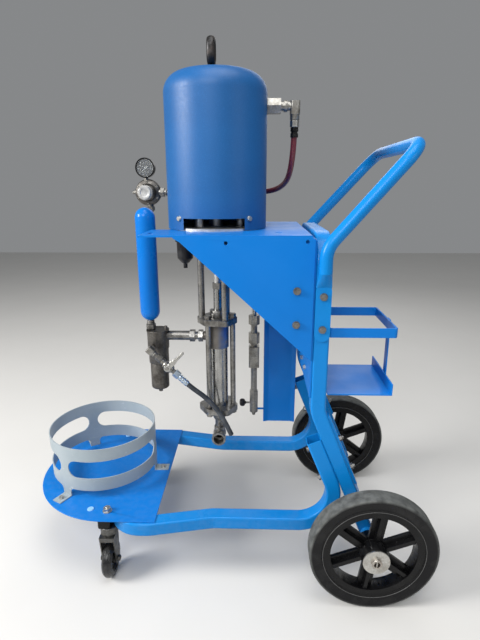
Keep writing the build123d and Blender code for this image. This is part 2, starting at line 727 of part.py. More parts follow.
small = []
for post in RING_POSTS:
    seat = Plane((RING_X + FOOT_HOLE_R * cos(radians(post)), FOOT_HOLE_R * sin(radians(post)),
                  PLATE_TOP + RING_SHEET))
    small.append(hex_bolt(seat, 10, SCREW_R))
for y in (-95, -25):
    small.append(hex_bolt(Plane((BRACKET_REAR, y, 545), x_dir=(0, 1, 0), z_dir=(-1, 0, 0)), 14, SCREW_R))
for z in (560, 660):
    small.append(hex_bolt(Plane((BRACKET_REAR - PANEL_SHEET, PANEL_Y + 14, z), x_dir=(0, 1, 0),
                                z_dir=(-1, 0, 0)), 12, SCREW_R))
for turn in COVER_SCREW_TURNS:
    with BuildPart() as cover_screw:
        with BuildSketch(cover_screw_plane(turn, COVER_R + 0.1)):
            Circle(6.5)
        extrude(amount=4, taper=20)
        with BuildSketch(cover_screw_plane(turn, COVER_R - 8)):
            Circle(SCREW_R)
        extrude(amount=10)
    small.append(cover_screw.part)
with BuildPart() as small_screws:
    add(small)
write(small_screws, "small_screws")

# -------------------------------------------------- shelf, rail, side panel

leg_rear = UPRIGHT_X + TUBE_DEEP / 2
plate_rear = BRACKET_REAR + SHEET
with BuildPart() as rear_shelf:
    with BuildSketch(Plane.XY.offset(SHELF_TOP - SHELF_SHEET)):
        with BuildLine():
            Polyline((plate_rear, -158), (leg_rear + 3, -158), (leg_rear + 3, SHELF_NEAR),
                     (SHELF_REAR, SHELF_NEAR), (SHELF_REAR, SHELF_FAR), (plate_rear, SHELF_FAR), close=True)
        make_face()
    extrude(amount=SHELF_SHEET)
    with BuildSketch(Plane.YZ.offset(SHELF_REAR - SHELF_SHEET)):
        with Locations(((SHELF_NEAR + SHELF_FAR) / 2, (SHELF_TOP + LIP_TOP) / 2)):
            Rectangle(SHELF_FAR - SHELF_NEAR, LIP_TOP - SHELF_TOP)
    extrude(amount=SHELF_SHEET)
    with BuildSketch(Plane.YZ.offset(plate_rear)):
        with Locations((-80.5, (SHELF_TOP + 560) / 2)):
            Rectangle(155, 560 - SHELF_TOP)
        with Locations((-95, 545), (-25, 545)):
            Circle(SCREW_R, mode=Mode.SUBTRACT)
    extrude(amount=SHELF_SHEET)
write(rear_shelf, "rear_shelf")

with BuildPart() as shelf_rail:
    with BuildSketch(Plane.XY.offset(RAIL[0])):
        with BuildLine():
            FilletPolyline((leg_rear + RAIL_THICK / 2, -166), (leg_rear + RAIL_THICK / 2, SHELF_NEAR),
                           (SHELF_REAR - RAIL_THICK / 2, SHELF_NEAR), (SHELF_REAR - RAIL_THICK / 2, SHELF_FAR),
                           (plate_rear + RAIL_THICK / 2, SHELF_FAR), (plate_rear + RAIL_THICK / 2, 22),
                           radius=[3, 5, 5, 3])
        trace(line_width=RAIL_THICK)
    extrude(amount=RAIL[1] - RAIL[0])
    with BuildSketch(Plane.YZ.offset(SHELF_REAR)):
        with Locations((STRUT_Y, (RAIL[1] + SHELF_TOP) / 2)):
            Rectangle(20, RAIL[1] - SHELF_TOP)
    extrude(amount=SHELF_SHEET)
write(shelf_rail, "shelf_rail")

with BuildPart() as side_panel:
    with BuildSketch(Plane.XY.offset(PANEL_Z[0])):
        with BuildLine():
            Polyline((PANEL_X[0], PANEL_Y), (PANEL_X[0] + 14, PANEL_Y + 5), (PANEL_X[1] - 14, PANEL_Y + 5),
                     (PANEL_X[1] - 1.5, PANEL_Y))
        trace(line_width=PANEL_SHEET)
    extrude(amount=PANEL_Z[1] - PANEL_Z[0])
    with BuildSketch(Plane.YZ.offset(PANEL_X[1] - PANEL_SHEET)):
        with Locations((PANEL_Y + 12, 610)):
            Rectangle(26, 180)
        with Locations((PANEL_Y + 14, 560), (PANEL_Y + 14, 660)):
            Circle(SCREW_R, mode=Mode.SUBTRACT)
    extrude(amount=PANEL_SHEET)
    with BuildSketch(Plane.YZ.offset(DROP_X + 12.5)):
        with Locations((PANEL_Y, 312)):
            Circle(3)
    extrude(amount=PANEL_X[0] - DROP_X - 12.5)
write(side_panel, "side_panel")

# ----------------------------------------------------------------- air motor

with BuildPart() as motor_cover:
    with BuildSketch(Plane.XZ):
        with BuildLine():
            crown = CenterArc((COVER_X, COVER_TOP - CROWN_R), CROWN_R, 90, -degrees(asin(CROWN_EDGE / CROWN_R)))
            ThreePointArc(crown @ 1, (COVER_X + 107, COVER_SHOULDER + 32), (COVER_X + COVER_R, COVER_SHOULDER))
            Polyline((COVER_X + COVER_R, COVER_SHOULDER), (COVER_X + COVER_R, COVER_LOW), (COVER_X, COVER_LOW),
                     crown @ 0)
        make_face()
    revolve(axis=Axis((COVER_X, 0, 0), (0, 0, 1)))
    offset(amount=-COVER_SHEET, openings=motor_cover.faces().sort_by(Axis.Z)[0])
    with BuildSketch(Plane.XZ.offset(40)):
        with Locations((COVER_X, (COVER_LOW + WINDOW_TOP) / 2)):
            Rectangle(2 * WINDOW_HALF, WINDOW_TOP - COVER_LOW)
    extrude(amount=100, mode=Mode.SUBTRACT)
    with BuildSketch(Plane.YZ.offset(COVER_X + 60)):
        with Locations((0, INLET_Z)):
            Circle(11)
    extrude(amount=80, mode=Mode.SUBTRACT)
    with BuildSketch(Plane.XY.offset(COVER_TOP - 20)):
        with Locations((EYE_X, 0)):
            Circle(6)
    extrude(amount=30, mode=Mode.SUBTRACT)
    for turn in COVER_SCREW_TURNS:
        with BuildSketch(cover_screw_plane(turn, COVER_R - 10)):
            Circle(SCREW_R)
        extrude(amount=20, mode=Mode.SUBTRACT)
write(motor_cover, "motor_cover")

with BuildPart() as lifting_eye:
    with BuildSketch(Plane.YZ.offset(EYE_X - EYE_THICK / 2)):
        with Locations((0, EYE_Z)):
            Circle(EYE_R)
    extrude(amount=EYE_THICK)
    fillet(lifting_eye.edges().filter_by(GeomType.CIRCLE), 7)
    with BuildSketch(Plane.XY.offset(COVER_TOP)):
        with Locations((EYE_X, 0)):
            Circle(9)
    extrude(amount=EYE_Z - EYE_R + 6 - COVER_TOP)
    with BuildSketch(Plane.XY.offset(COVER_TOP - 14)):
        with Locations((EYE_X, 0)):
            Circle(6)
    extrude(amount=16)
    with BuildSketch(Plane.YZ.offset(EYE_X - EYE_THICK)):
        with Locations((0, EYE_Z)):
            Circle(EYE_HOLE_R)
    extrude(amount=2 * EYE_THICK, mode=Mode.SUBTRACT)
write(lifting_eye, "lifting_eye")

with BuildPart() as motor_body:
    with BuildSketch(Plane.XY.offset(BRACKET_TOP)):
        with Locations((COVER_X, 0)):
            Circle(COVER_R - COVER_SHEET - 1)
    extrude(amount=5)
    for low, high, radius in ((BRACKET_TOP, BARREL[0], 15), (BARREL[0] - 16, BARREL[0], BARREL_R + 6),
                              (BARREL[0], BARREL[1], BARREL_R), (BARREL[1], BARREL[1] + 16, BARREL_R + 6)):
        with BuildSketch(Plane.XY.offset(low)):
            with Locations((PUMP_X, 0)):
                Circle(radius)
        extrude(amount=high - low)
    with BuildSketch(Plane.XY.offset(BRACKET_TOP)):
        for turn in POST_TURNS:
            with Locations((COVER_X + 60 * cos(radians(turn)), 60 * sin(radians(turn)))):
                Circle(11)
    extrude(amount=BARREL[0] - BRACKET_TOP)
    with BuildSketch(Plane.XY.offset(BARREL[0])):
        with Locations((PUMP_X, 0)):
            Circle(PISTON_R + RUNNING_FIT)
    extrude(amount=BARREL[1] - BARREL[0], mode=Mode.SUBTRACT)
    with BuildSketch(Plane.XY.offset(BRACKET_TOP - 1)):
        with Locations((PUMP_X, 0)):
            Circle(MOTOR_ROD_R + RUNNING_FIT)
    extrude(amount=BARREL[0] - BRACKET_TOP + 2, mode=Mode.SUBTRACT)
write(motor_body, "motor_body")

with BuildPart() as motor_piston:
    with BuildSketch(Plane.XY.offset(1022)):
        with Locations((PUMP_X, 0)):
            Circle(PISTON_R)
    extrude(amount=24)
    with BuildSketch(Plane.XY.offset(738)):
        with Locations((PUMP_X, 0)):
            Circle(MOTOR_ROD_R)
    extrude(amount=290)
write(motor_piston, "motor_piston")

with BuildPart() as rod_coupling:
    with BuildSketch(Plane.XY.offset(722)):
        with Locations((PUMP_X, 0)):
            RegularPolygon(11, 6, major_radius=False)
    extrude(amount=16)
write(rod_coupling, "rod_coupling")

with BuildPart() as air_inlet:
    cover_side = COVER_X + COVER_R
    with BuildSketch(Plane.YZ.offset(cover_side)):
        with Locations((0, INLET_Z)):
            RegularPolygon(16, 6, major_radius=False)
    extrude(amount=31)
    with BuildSketch(Plane.YZ.offset(PUMP_X + BARREL_R + 6.2)):
        with Locations((0, INLET_Z)):
            Circle(10.5)
    extrude(amount=INLET_X - PUMP_X - BARREL_R - 6.2)
    with BuildSketch(Plane.YZ.offset(cover_side + 38)):
        with Locations((0, INLET_Z)):
            Circle(13)
    extrude(amount=8)
    with BuildSketch(Plane.XY.offset(INLET_Z - 30)):
        with Locations((INLET_X, 0)):
            Circle(11)
    extrude(amount=30)
    with BuildSketch(Plane.XY.offset(INLET_Z - 18)):
        with Locations((INLET_X, 0)):
            RectangleRounded(23, 23, 5)
    extrude(amount=29)
write(air_inlet, "air_inlet")

# ---------------------------------------------------------------- fluid pump

with BuildPart() as tie_rods:
    with BuildSketch(Plane.XY.offset(UPPER_FLANGE[1])):
        with Locations((PUMP_X, 0)):
            with PolarLocations(TIE_PITCH, 3, start_angle=TIE_TURN):
                Circle(TIE_R)
    extrude(amount=BRACKET_TOP - UPPER_FLANGE[1])
    with BuildSketch(Plane.XY.offset(LOWER_FLANGE[1])):
        with Locations((PUMP_X, 0)):
            with PolarLocations(LOWER_TIE_PITCH, 3, start_angle=LOWER_TIE_TURN):
                Circle(LOWER_TIE_R)
    extrude(amount=UPPER_FLANGE[0] - LOWER_FLANGE[1])
    with BuildSketch(Plane.XY.offset(LOWER_FLANGE[0] - 8)):
        with Locations((PUMP_X, 0)):
            with PolarLocations(LOWER_TIE_PITCH, 3, start_angle=LOWER_TIE_TURN):
                RegularPolygon(8, 6, major_radius=False)
    extrude(amount=8)
    with BuildSketch(Plane.XY.offset(UPPER_FLANGE[1])):
        with Locations((PUMP_X, 0)):
            with PolarLocations(LOWER_TIE_PITCH, 3, start_angle=LOWER_TIE_TURN):
                RegularPolygon(8, 6, major_radius=False)
    extrude(amount=9)
write(tie_rods, "tie_rods")

with BuildPart() as upper_flange:
    with BuildSketch(Plane.XY.offset(UPPER_FLANGE[0])):
        with Locations((PUMP_X, 0)):
            with PolarLocations(TIE_PITCH, 3, start_angle=TIE_TURN):
                Circle(LOBE_R)
            with PolarLocations(LOWER_TIE_PITCH, 3, start_angle=LOWER_TIE_TURN):
                Circle(LOBE_R)
        make_hull()
        with Locations((PUMP_X, 0)):
            Circle(PUMP_BORE_R, mode=Mode.SUBTRACT)
    extrude(amount=UPPER_FLANGE[1] - UPPER_FLANGE[0])
    chamfer(upper_flange.faces().sort_by(Axis.Z)[-1].outer_wire().edges(), 1.5)
write(upper_flange, "upper_flange")

with BuildPart() as packing_nut:
    with BuildSketch(Plane.XY.offset(UPPER_FLANGE[1])):
        with Locations((PUMP_X, 0)):
            Circle(21)
            Circle(ROD_R + RUNNING_FIT, mode=Mode.SUBTRACT)
    extrude(amount=18)
    with BuildSketch(Plane.XY.offset(UPPER_FLANGE[1] + 10)):
        with Locations((PUMP_X, 0)):
            with PolarLocations(21, 4, start_angle=45):
                Rectangle(8, 9)
    extrude(amount=10, mode=Mode.SUBTRACT)
write(packing_nut, "packing_nut")

with BuildPart() as outlet_body:
    with BuildSketch(Plane.XY.offset(COLLAR[0])):
        with Locations((PUMP_X, 0)):
            Circle(COLLAR_R)
    extrude(amount=COLLAR[1] - COLLAR[0])
    with BuildSketch(Plane.YZ.offset(PUMP_X - 38)):
        with Locations((0, OUTLET_Z)):
            Circle(12)
    extrude(amount=30)
    with BuildSketch(Plane.XY.offset(COLLAR[0] - 1)):
        with Locations((PUMP_X, 0)):
            Circle(PUMP_BORE_R)
    extrude(amount=COLLAR[1] - COLLAR[0] + 2, mode=Mode.SUBTRACT)
write(outlet_body, "outlet_body")

with BuildPart() as pump_cylinder:
    with BuildSketch(Plane.XY.offset(LOWER_FLANGE[1])):
        with Locations((PUMP_X, 0)):
            Circle(CYLINDER_R)
            Circle(PUMP_BORE_R, mode=Mode.SUBTRACT)
    extrude(amount=COLLAR[0] - LOWER_FLANGE[1])
write(pump_cylinder, "pump_cylinder")

with BuildPart() as pump_rod:
    with BuildSketch(Plane.XY.offset(560)):
        with Locations((PUMP_X, 0)):
            Circle(ROD_R)
    extrude(amount=722 - 560)
    with BuildSketch(Plane.XY.offset(495)):
        with Locations((PUMP_X, 0)):
            Circle(8)
    extrude(amount=65)
    with BuildSketch(Plane.XY.offset(475)):
        with Locations((PUMP_X, 0)):
            Circle(PUMP_BORE_R - RUNNING_FIT)
    extrude(amount=20)
write(pump_rod, "pump_rod")

with BuildPart() as foot_valve:
    with BuildSketch(Plane.XY.offset(LOWER_FLANGE[0])):
        with Locations((PUMP_X, 0)):
            with PolarLocations(TIE_PITCH, 3, start_angle=TIE_TURN):
                Circle(LOBE_R)
            with PolarLocations(LOWER_TIE_PITCH, 3, start_angle=LOWER_TIE_TURN):
                Circle(LOBE_R)
        make_hull()
    extrude(amount=LOWER_FLANGE[1] - LOWER_FLANGE[0])
    with BuildSketch(Plane.XY.offset(LOWER_FLANGE[0])):
        with Locations((PUMP_X, 0)):
            Circle(27)
    extrude(amount=-30, taper=22)
    with BuildSketch(Plane.XY.offset(328)):
        with Locations((PUMP_X, 0)):
            Circle(12)
    extrude(amount=24)
    with BuildSketch(Plane.XY.offset(366)):
        with Locations((PUMP_X, 0)):
            Circle(11)
    extrude(amount=40, mode=Mode.SUBTRACT)
    with BuildSketch(Plane.XY.offset(320)):
        with Locations((PUMP_X, 0)):
            Circle(7)
    extrude(amount=60, mode=Mode.SUBTRACT)
write(foot_valve, "foot_valve")

with BuildPart() as foot_ball:
    with Locations((PUMP_X, 0, 366 + sqrt(10**2 - 7**2) + 0.05)):
        Sphere(10)
write(foot_ball, "foot_ball")

with BuildPart() as suction_elbow:
    with BuildSketch(Plane.XY.offset(SUCTION_Z)):
        with Locations((PUMP_X, 0)):
            Circle(15)
    extrude(amount=328 - SUCTION_Z)
    with Locations((PUMP_X, 0, SUCTION_Z)):
        Sphere(SUCTION_R - 1)
    with BuildSketch(side_plane(PUMP_X, 0, SUCTION_Z, -1)):
        Circle(SUCTION_R - 2)
    extrude(amount=-SUCTION_MOUTH_Y - 10)
    with BuildSketch(side_plane(PUMP_X, SUCTION_MOUTH_Y + 14, SUCTION_Z, -1)):
        Circle(SUCTION_R)
    extrude(amount=14)
    with BuildSketch(side_plane(PUMP_X, SUCTION_MOUTH_Y, SUCTION_Z, 1)):
        Circle(SUCTION_BORE_R)
    extrude(amount=SUCTION_BORE_LONG, mode=Mode.SUBTRACT)
    with BuildSketch(Plane.XY.offset(SUCTION_Z - 5)):
        with Locations((PUMP_X, 0)):
            Circle(7)
    extrude(amount=40, mode=Mode.SUBTRACT)
    with BuildSketch(side_plane(PUMP_X, SUCTION_MOUTH_Y, SUCTION_Z, 1)):
        Circle(9)
    extrude(amount=-SUCTION_MOUTH_Y + 5, mode=Mode.SUBTRACT)
write(suction_elbow, "suction_elbow")

# ----------------------------------------------- outlet, filter, surge tank

filter_side = FILTER_X + FILTER_R
collar_side = PUMP_X - 38
with BuildPart() as outlet_pipe:
    for start, end, radius in ((filter_side, -88, 12.5), (-88, collar_side, 10.5)):
        with BuildSketch(Plane.YZ.offset(start)):
            with Locations((0, OUTLET_Z)):
                Circle(radius)
        extrude(amount=end - start)
    for start, end in ((-88, -74), (-65, -53)):
        with BuildSketch(Plane.YZ.offset(start)):
            with Locations((0, OUTLET_Z)):
                RegularPolygon(14.5, 6, major_radius=False)
        extrude(amount=end - start)
    with BuildSketch(Plane.YZ.offset(filter_side - 1)):
        with Locations((0, OUTLET_Z)):
            Circle(6)
    extrude(amount=collar_side - filter_side + 2, mode=Mode.SUBTRACT)
write(outlet_pipe, "outlet_pipe")

with BuildPart() as filter_head:
    with BuildSketch(Plane.XY.offset(520)):
        with Locations((FILTER_X, 0)):
            Circle(FILTER_R - 2)
    extrude(amount=90)
    with BuildSketch(Plane.XY.offset(560)):
        with Locations((FILTER_X, 0)):
            Circle(FILTER_R)
    extrude(amount=FILTER_TOP - 560)
    with BuildSketch(Plane.XY.offset(FILTER_TOP - 4)):
        with Locations((FILTER_X, 0)):
            Circle(FILTER_R + 1.5)
    extrude(amount=4)
    with BuildSketch(Plane.XY.offset(519)):
        with Locations((FILTER_X, 0)):
            Circle(19)
    extrude(amount=80, mode=Mode.SUBTRACT)
    with BuildSketch(Plane.XY.offset(FILTER_TOP)):
        with Locations((FILTER_X + 22, 0)):
            Circle(4)
    extrude(amount=9)
    with BuildSketch(Plane.YZ.offset(filter_side - 4)):
        with Locations((0, OUTLET_Z)):
            Circle(13)
    extrude(amount=4)
    with BuildSketch(side_plane(DRAIN_START[0], 2 - FILTER_R, DRAIN_START[1], -1)):
        Circle(7)
    extrude(amount=10, mode=Mode.SUBTRACT)
write(filter_head, "filter_head")

with BuildPart() as filter_bowl:
    with BuildSketch(Plane.XY.offset(445)):
        with Locations((FILTER_X, 0)):
            Circle(BOWL_R)
    extrude(amount=520 - 445)
    fillet(filter_bowl.faces().sort_by(Axis.Z)[0].edges(), 6)
    with BuildSketch(Plane.XY.offset(455)):
        with Locations((FILTER_X, 0)):
            Circle(19)
    extrude(amount=70, mode=Mode.SUBTRACT)
    with BuildSketch(Plane.XY.offset(433)):
        with Locations((FILTER_X, 0)):
            RegularPolygon(5, 6, major_radius=False)
    extrude(amount=13)
write(filter_bowl, "filter_bowl")

with BuildPart() as filter_element:
    with BuildSketch(Plane.XY.offset(460)):
        with Locations((FILTER_X, 0)):
            Circle(14)
            Circle(11, mode=Mode.SUBTRACT)
    extrude(amount=130)
write(filter_element, "filter_element")

with BuildPart() as surge_tank:
    with BuildSketch(Plane.XZ):
        with BuildLine():
            low_dome = CenterArc((TANK_X, TANK[0] + TANK_R), TANK_R, 0, degrees(asin(8 / TANK_R)) - 90)
            high_dome = CenterArc((TANK_X, TANK[1] - TANK_R), TANK_R, 0, 90)
            Line(low_dome @ 0, high_dome @ 0)
            Polyline(low_dome @ 1, (TANK_X + 8, FILTER_TOP), (TANK_X, FILTER_TOP), high_dome @ 1)
        make_face()
    revolve(axis=Axis((TANK_X, 0, 0), (0, 0, 1)))
    with BuildSketch(Plane.XZ):
        with Locations((TANK_X + 10, (TANK[0] + TANK[1]) / 2)):
            Rectangle(20, TANK[1] - TANK[0] - 70)
    revolve(axis=Axis((TANK_X, 0, 0), (0, 0, 1)), mode=Mode.SUBTRACT)
    with BuildSketch(Plane.XY.offset(FILTER_TOP)):
        with Locations((TANK_X, 0)):
            RegularPolygon(11, 6, major_radius=False)
    extrude(amount=18)
write(surge_tank, "surge_tank")

# --------------------------------------------------- drain valve and its hose

drain_way = Vector(cos(radians(DRAIN_SLOPE)), 0, sin(radians(DRAIN_SLOPE)))
drain_start = Vector(DRAIN_START[0], DRAIN_Y, DRAIN_START[1])


def drain_plane(along):
    """Plane across the drain line, a distance along it from the elbow."""
    return Plane(drain_start + drain_way * along, x_dir=(0, 1, 0), z_dir=drain_way)


with BuildPart() as drain_valve:
    with BuildSketch(side_plane(DRAIN_START[0], -FILTER_R + 2, DRAIN_START[1], -1)):
        Circle(7)
    extrude(amount=-DRAIN_Y - FILTER_R + 2)
    with Locations((DRAIN_START[0], DRAIN_Y, DRAIN_START[1])):
        Sphere(10)
    with BuildSketch(drain_plane(0)):
        Circle(6)
    extrude(amount=DRAIN_LONG - 2)
    with BuildSketch(drain_plane(4)):
        Circle(9)
    extrude(amount=12)
    with BuildSketch(drain_plane(22)):
        RegularPolygon(8, 6, major_radius=False)
    extrude(amount=14)
    with BuildSketch(drain_plane(40)):
        Circle(9)
    extrude(amount=5)
    with BuildSketch(drain_plane(48)):
        Circle(11)
    extrude(amount=28)
    with BuildSketch(drain_plane(84)):
        RegularPolygon(9, 6, major_radius=False)
    extrude(amount=16)
    with BuildSketch(drain_plane(102)):
        Circle(8)
    extrude(amount=DRAIN_LONG - 102)
    with BuildSketch(side_plane(drain_start.X + drain_way.X * DRAIN_PIVOT, DRAIN_Y,
                                drain_start.Z + drain_way.Z * DRAIN_PIVOT, -1)):
        Circle(4)
    extrude(amount=17)
write(drain_valve, "drain_valve")

pivot = drain_start + drain_way * DRAIN_PIVOT
lever_way = Vector(-drain_way.Z, 0, drain_way.X)
with BuildPart() as drain_lever:
    with BuildSketch(Plane((pivot.X, DRAIN_Y - 11.4, pivot.Z), x_dir=lever_way, z_dir=(0, -1, 0))):
        Circle(9)
        with BuildLine():
            Polyline((0, -8), (22, -5), (58, -2.5), (58, 2.5), (22, 5), (0, 8), close=True)
        make_face()
        with Locations((58, 0)):
            Circle(3.5)
        Circle(4 + RUNNING_FIT, mode=Mode.SUBTRACT)
    extrude(amount=5)
write(drain_lever, "drain_lever")

hose_start = drain_start + drain_way * DRAIN_LONG
hose_second = drain_start + drain_way * (DRAIN_LONG + 14)
drain_route = [(hose_start.X, DRAIN_Y, hose_start.Z), (hose_second.X, DRAIN_Y, hose_second.Z),
               (-38, DRAIN_Y - 1, 438), (0, DRAIN_Y - 1, 388), (23, DRAIN_Y, 333)]
drain_hose_path = wire_path(drain_route, cord_radii("drain_hose", drain_route))
with BuildPart() as drain_hose:
    with BuildSketch(Plane(drain_hose_path.position_at(0), z_dir=drain_hose_path.tangent_at(0))):
        Circle(DRAIN_HOSE_R)
    sweep(path=drain_hose_path)
print("drain_hose length", round(drain_hose_path.length, 1),
      "volume ratio", round(drain_hose.part.volume / (3.14159 * DRAIN_HOSE_R**2 * drain_hose_path.length), 3))
write(drain_hose, "drain_hose")

# ------------------------------------------------------------------ air line

hose_low = INLET_Z - 68
hose_end_x = -132
air_route = [(INLET_X, 0, INLET_Z - 33), (INLET_X, 0, 1018), (152, 112, 965), (62, 141, 959),
             (-35, AIR_Y, REGULATOR_Z), (hose_end_x - 24, AIR_Y, REGULATOR_Z)]
air_hose_path = wire_path(air_route, cord_radii("air_hose", air_route))
with BuildPart() as air_hose:
    with BuildSketch(Plane(air_hose_path.position_at(0), z_dir=air_hose_path.tangent_at(0))):
        Circle(AIR_HOSE_R)
    sweep(path=air_hose_path)
print("air_hose length", round(air_hose_path.length, 1),
      "volume ratio", round(air_hose.part.volume / (3.14159 * AIR_HOSE_R**2 * air_hose_path.length), 3))
write(air_hose, "air_hose")

with BuildPart() as hose_nuts:
    for seat in (Plane((INLET_X, 0, INLET_Z - 30), z_dir=(0, 0, -1)),
                 Plane((hose_end_x - 26, AIR_Y, REGULATOR_Z), z_dir=(1, 0, 0))):
        with BuildSketch(seat):
            RegularPolygon(11, 6, major_radius=False)
        extrude(amount=16)
        with BuildSketch(seat.offset(16)):
            Circle(9.5)
        extrude(amount=10 if seat.z_dir.X > 0 else 22)
        with BuildSketch(seat.offset(2)):
            Circle(AIR_HOSE_R + 0.05)
        extrude(amount=40, mode=Mode.SUBTRACT)
write(hose_nuts, "hose_nuts")

with BuildPart() as regulator_body:
    with BuildSketch(side_plane(REGULATOR_X, AIR_Y + 12, REGULATOR_Z, -1)):
        Circle(35)
    extrude(amount=22)
    fillet(regulator_body.edges().filter_by(GeomType.CIRCLE), 4)
    with BuildSketch(side_plane(REGULATOR_X, AIR_Y - 9, REGULATOR_Z, -1)):
        Circle(24)
    extrude(amount=24, taper=12)
    with BuildSketch(side_plane(REGULATOR_X, AIR_Y - 30, REGULATOR_Z, -1)):
        Circle(5)
    extrude(amount=16)
    with BuildSketch(Plane.YZ.offset(REGULATOR_X)):
        with Locations((AIR_Y, REGULATOR_Z)):
            Circle(10)
    extrude(amount=52)
    with BuildSketch(Plane.YZ.offset(REGULATOR_X + 34)):
        with Locations((AIR_Y, REGULATOR_Z)):
            RegularPolygon(12, 6, major_radius=False)
    extrude(amount=10)
    with BuildSketch(Plane.YZ.offset(REGULATOR_X - 44)):
        with Locations((AIR_Y, REGULATOR_Z)):
            Circle(5)
    extrude(amount=44)
    with BuildSketch(Plane.XY.offset(REGULATOR_Z - 50)):
        with Locations((REGULATOR_X + 5, AIR_Y)):
            RegularPolygon(9, 6, major_radius=False)
    extrude(amount=50)
    with BuildSketch(Plane.XY.offset(REGULATOR_Z)):
        with Locations((REGULATOR_X - 3, AIR_Y - 3)):
            Circle(5)
    extrude(amount=38)
write(regulator_body, "regulator_body")

with BuildPart() as regulator_knob:
    with BuildSketch(side_plane(REGULATOR_X, AIR_Y - 33.5, REGULATOR_Z, -1)):
        Circle(19.5)
    extrude(amount=18)
    chamfer(regulator_knob.faces().sort_by(Axis.Y)[0].edges(), 2)
    with BuildSketch(side_plane(REGULATOR_X, AIR_Y - 33, REGULATOR_Z, -1)):
        Circle(5 + RUNNING_FIT)
    extrude(amount=14, mode=Mode.SUBTRACT)
write(regulator_knob, "regulator_knob")

gauge_z = REGULATOR_Z + 64
with BuildPart() as gauge_case:
    with BuildSketch(side_plane(REGULATOR_X - 3, AIR_Y + 6, gauge_z, -1)):
        Circle(26)
    extrude(amount=24)
    with BuildSketch(side_plane(REGULATOR_X - 3, AIR_Y - 8, gauge_z, -1)):
        Circle(23)
    extrude(amount=12, mode=Mode.SUBTRACT)
    with BuildSketch(side_plane(REGULATOR_X - 3, AIR_Y - 6, gauge_z, -1)):
        Circle(1.5)
    extrude(amount=5)
write(gauge_case, "gauge_case")

with BuildPart() as gauge_needle:
    with BuildSketch(Plane((REGULATOR_X - 3, AIR_Y - 11.5, gauge_z), x_dir=(-0.7, 0, -0.7), z_dir=(0, -1, 0))):
        Circle(3)
        with BuildLine():
            Polyline((-6, -1.2), (18, -0.4), (18, 0.4), (-6, 1.2), close=True)
        make_face()
    extrude(amount=1)
write(gauge_needle, "gauge_needle")

with BuildPart() as air_filter:
    with BuildSketch(Plane.XY.offset(828)):
        with Locations((AIR_FILTER_X, AIR_Y)):
            RectangleRounded(48, 48, 8)
    extrude(amount=BRACKET_TOP - SHEET - 828)
    with BuildSketch(Plane.XZ.offset(-AIR_Y)):
        with BuildLine():
            Polyline((AIR_FILTER_X, 752), (AIR_FILTER_X + 6, 752), (AIR_FILTER_X + 6, 764),
                     (AIR_FILTER_X + 12, 768), (AIR_FILTER_X + 22, 780), (AIR_FILTER_X + 23, 828),
                     (AIR_FILTER_X, 828), close=True)
        make_face()
    revolve(axis=Axis((AIR_FILTER_X, AIR_Y, 0), (0, 0, 1)))
write(air_filter, "air_filter")

link_path = wire_path([(REGULATOR_X + 5, AIR_Y, REGULATOR_Z - 50), (REGULATOR_X + 5, AIR_Y, AIR_PIPE_Z),
                       (AIR_FILTER_X - 24, AIR_Y, AIR_PIPE_Z)], 24)
supply_path = wire_path([(AIR_FILTER_X + 24, AIR_Y, AIR_PIPE_Z), (DROP_X, AIR_Y, AIR_PIPE_Z),
                         (DROP_X, AIR_Y, 613)], 30)
with BuildPart() as air_pipes:
    for path, radius in ((link_path, 6), (supply_path, 7)):
        with BuildSketch(Plane(path.position_at(0), z_dir=path.tangent_at(0))):
            Circle(radius)
        sweep(path=path)
write(air_pipes, "air_pipes")

with BuildPart() as air_drop:
    for low, high, across in ((585, 613, 14), (526, 560, 14)):
        with BuildSketch(Plane.XY.offset(low)):
            with Locations((DROP_X, AIR_Y)):
                RegularPolygon(across, 6, major_radius=False)
        extrude(amount=high - low)
    with BuildSketch(Plane.XY.offset(453)):
        with Locations((DROP_X, AIR_Y)):
            RectangleRounded(31, 31, 4)
    extrude(amount=64)
    for low, high, radius in ((372, 590, 9.5), (303, 374, 12.5), (292, 303, 5)):
        with BuildSketch(Plane.XY.offset(low)):
            with Locations((DROP_X, AIR_Y)):
                Circle(radius)
        extrude(amount=high - low)
    with BuildSketch(Plane.YZ.offset(DROP_X - 40)):
        with Locations((AIR_Y, 332)):
            Circle(3)
    extrude(amount=30)
    with BuildSketch(Plane.XY.offset(291)):
        with Locations((DROP_X, AIR_Y)):
            Circle(3)
    extrude(amount=30, mode=Mode.SUBTRACT)
write(air_drop, "air_drop")

with BuildPart() as bleed_knob:
    with BuildSketch(Plane.YZ.offset(DROP_X - 44)):
        with Locations((AIR_Y, 332)):
            RegularPolygon(12, 8)
    extrude(amount=20)
    with BuildSketch(Plane.YZ.offset(DROP_X - 40)):
        with Locations((AIR_Y, 332)):
            Circle(3 + RUNNING_FIT)
    extrude(amount=20, mode=Mode.SUBTRACT)
write(bleed_knob, "bleed_knob")

print(len(parts_made), "pieces")
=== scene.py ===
import json
from math import asin, cos, pi, radians, sin, tau

import bmesh
import bpy
from mathutils import Matrix, Vector


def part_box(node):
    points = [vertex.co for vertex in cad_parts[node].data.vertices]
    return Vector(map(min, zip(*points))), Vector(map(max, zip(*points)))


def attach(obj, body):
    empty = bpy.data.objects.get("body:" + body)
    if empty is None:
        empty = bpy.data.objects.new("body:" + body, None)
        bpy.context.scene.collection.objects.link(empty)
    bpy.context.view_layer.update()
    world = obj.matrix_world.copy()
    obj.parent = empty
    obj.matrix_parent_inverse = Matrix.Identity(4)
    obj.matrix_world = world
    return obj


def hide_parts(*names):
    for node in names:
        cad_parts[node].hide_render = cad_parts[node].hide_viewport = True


# Metres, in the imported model's frame: +Z up, +X towards the handle, the near side is -Y.
# A lathe's profile is a list of (radius, distance along its axis).

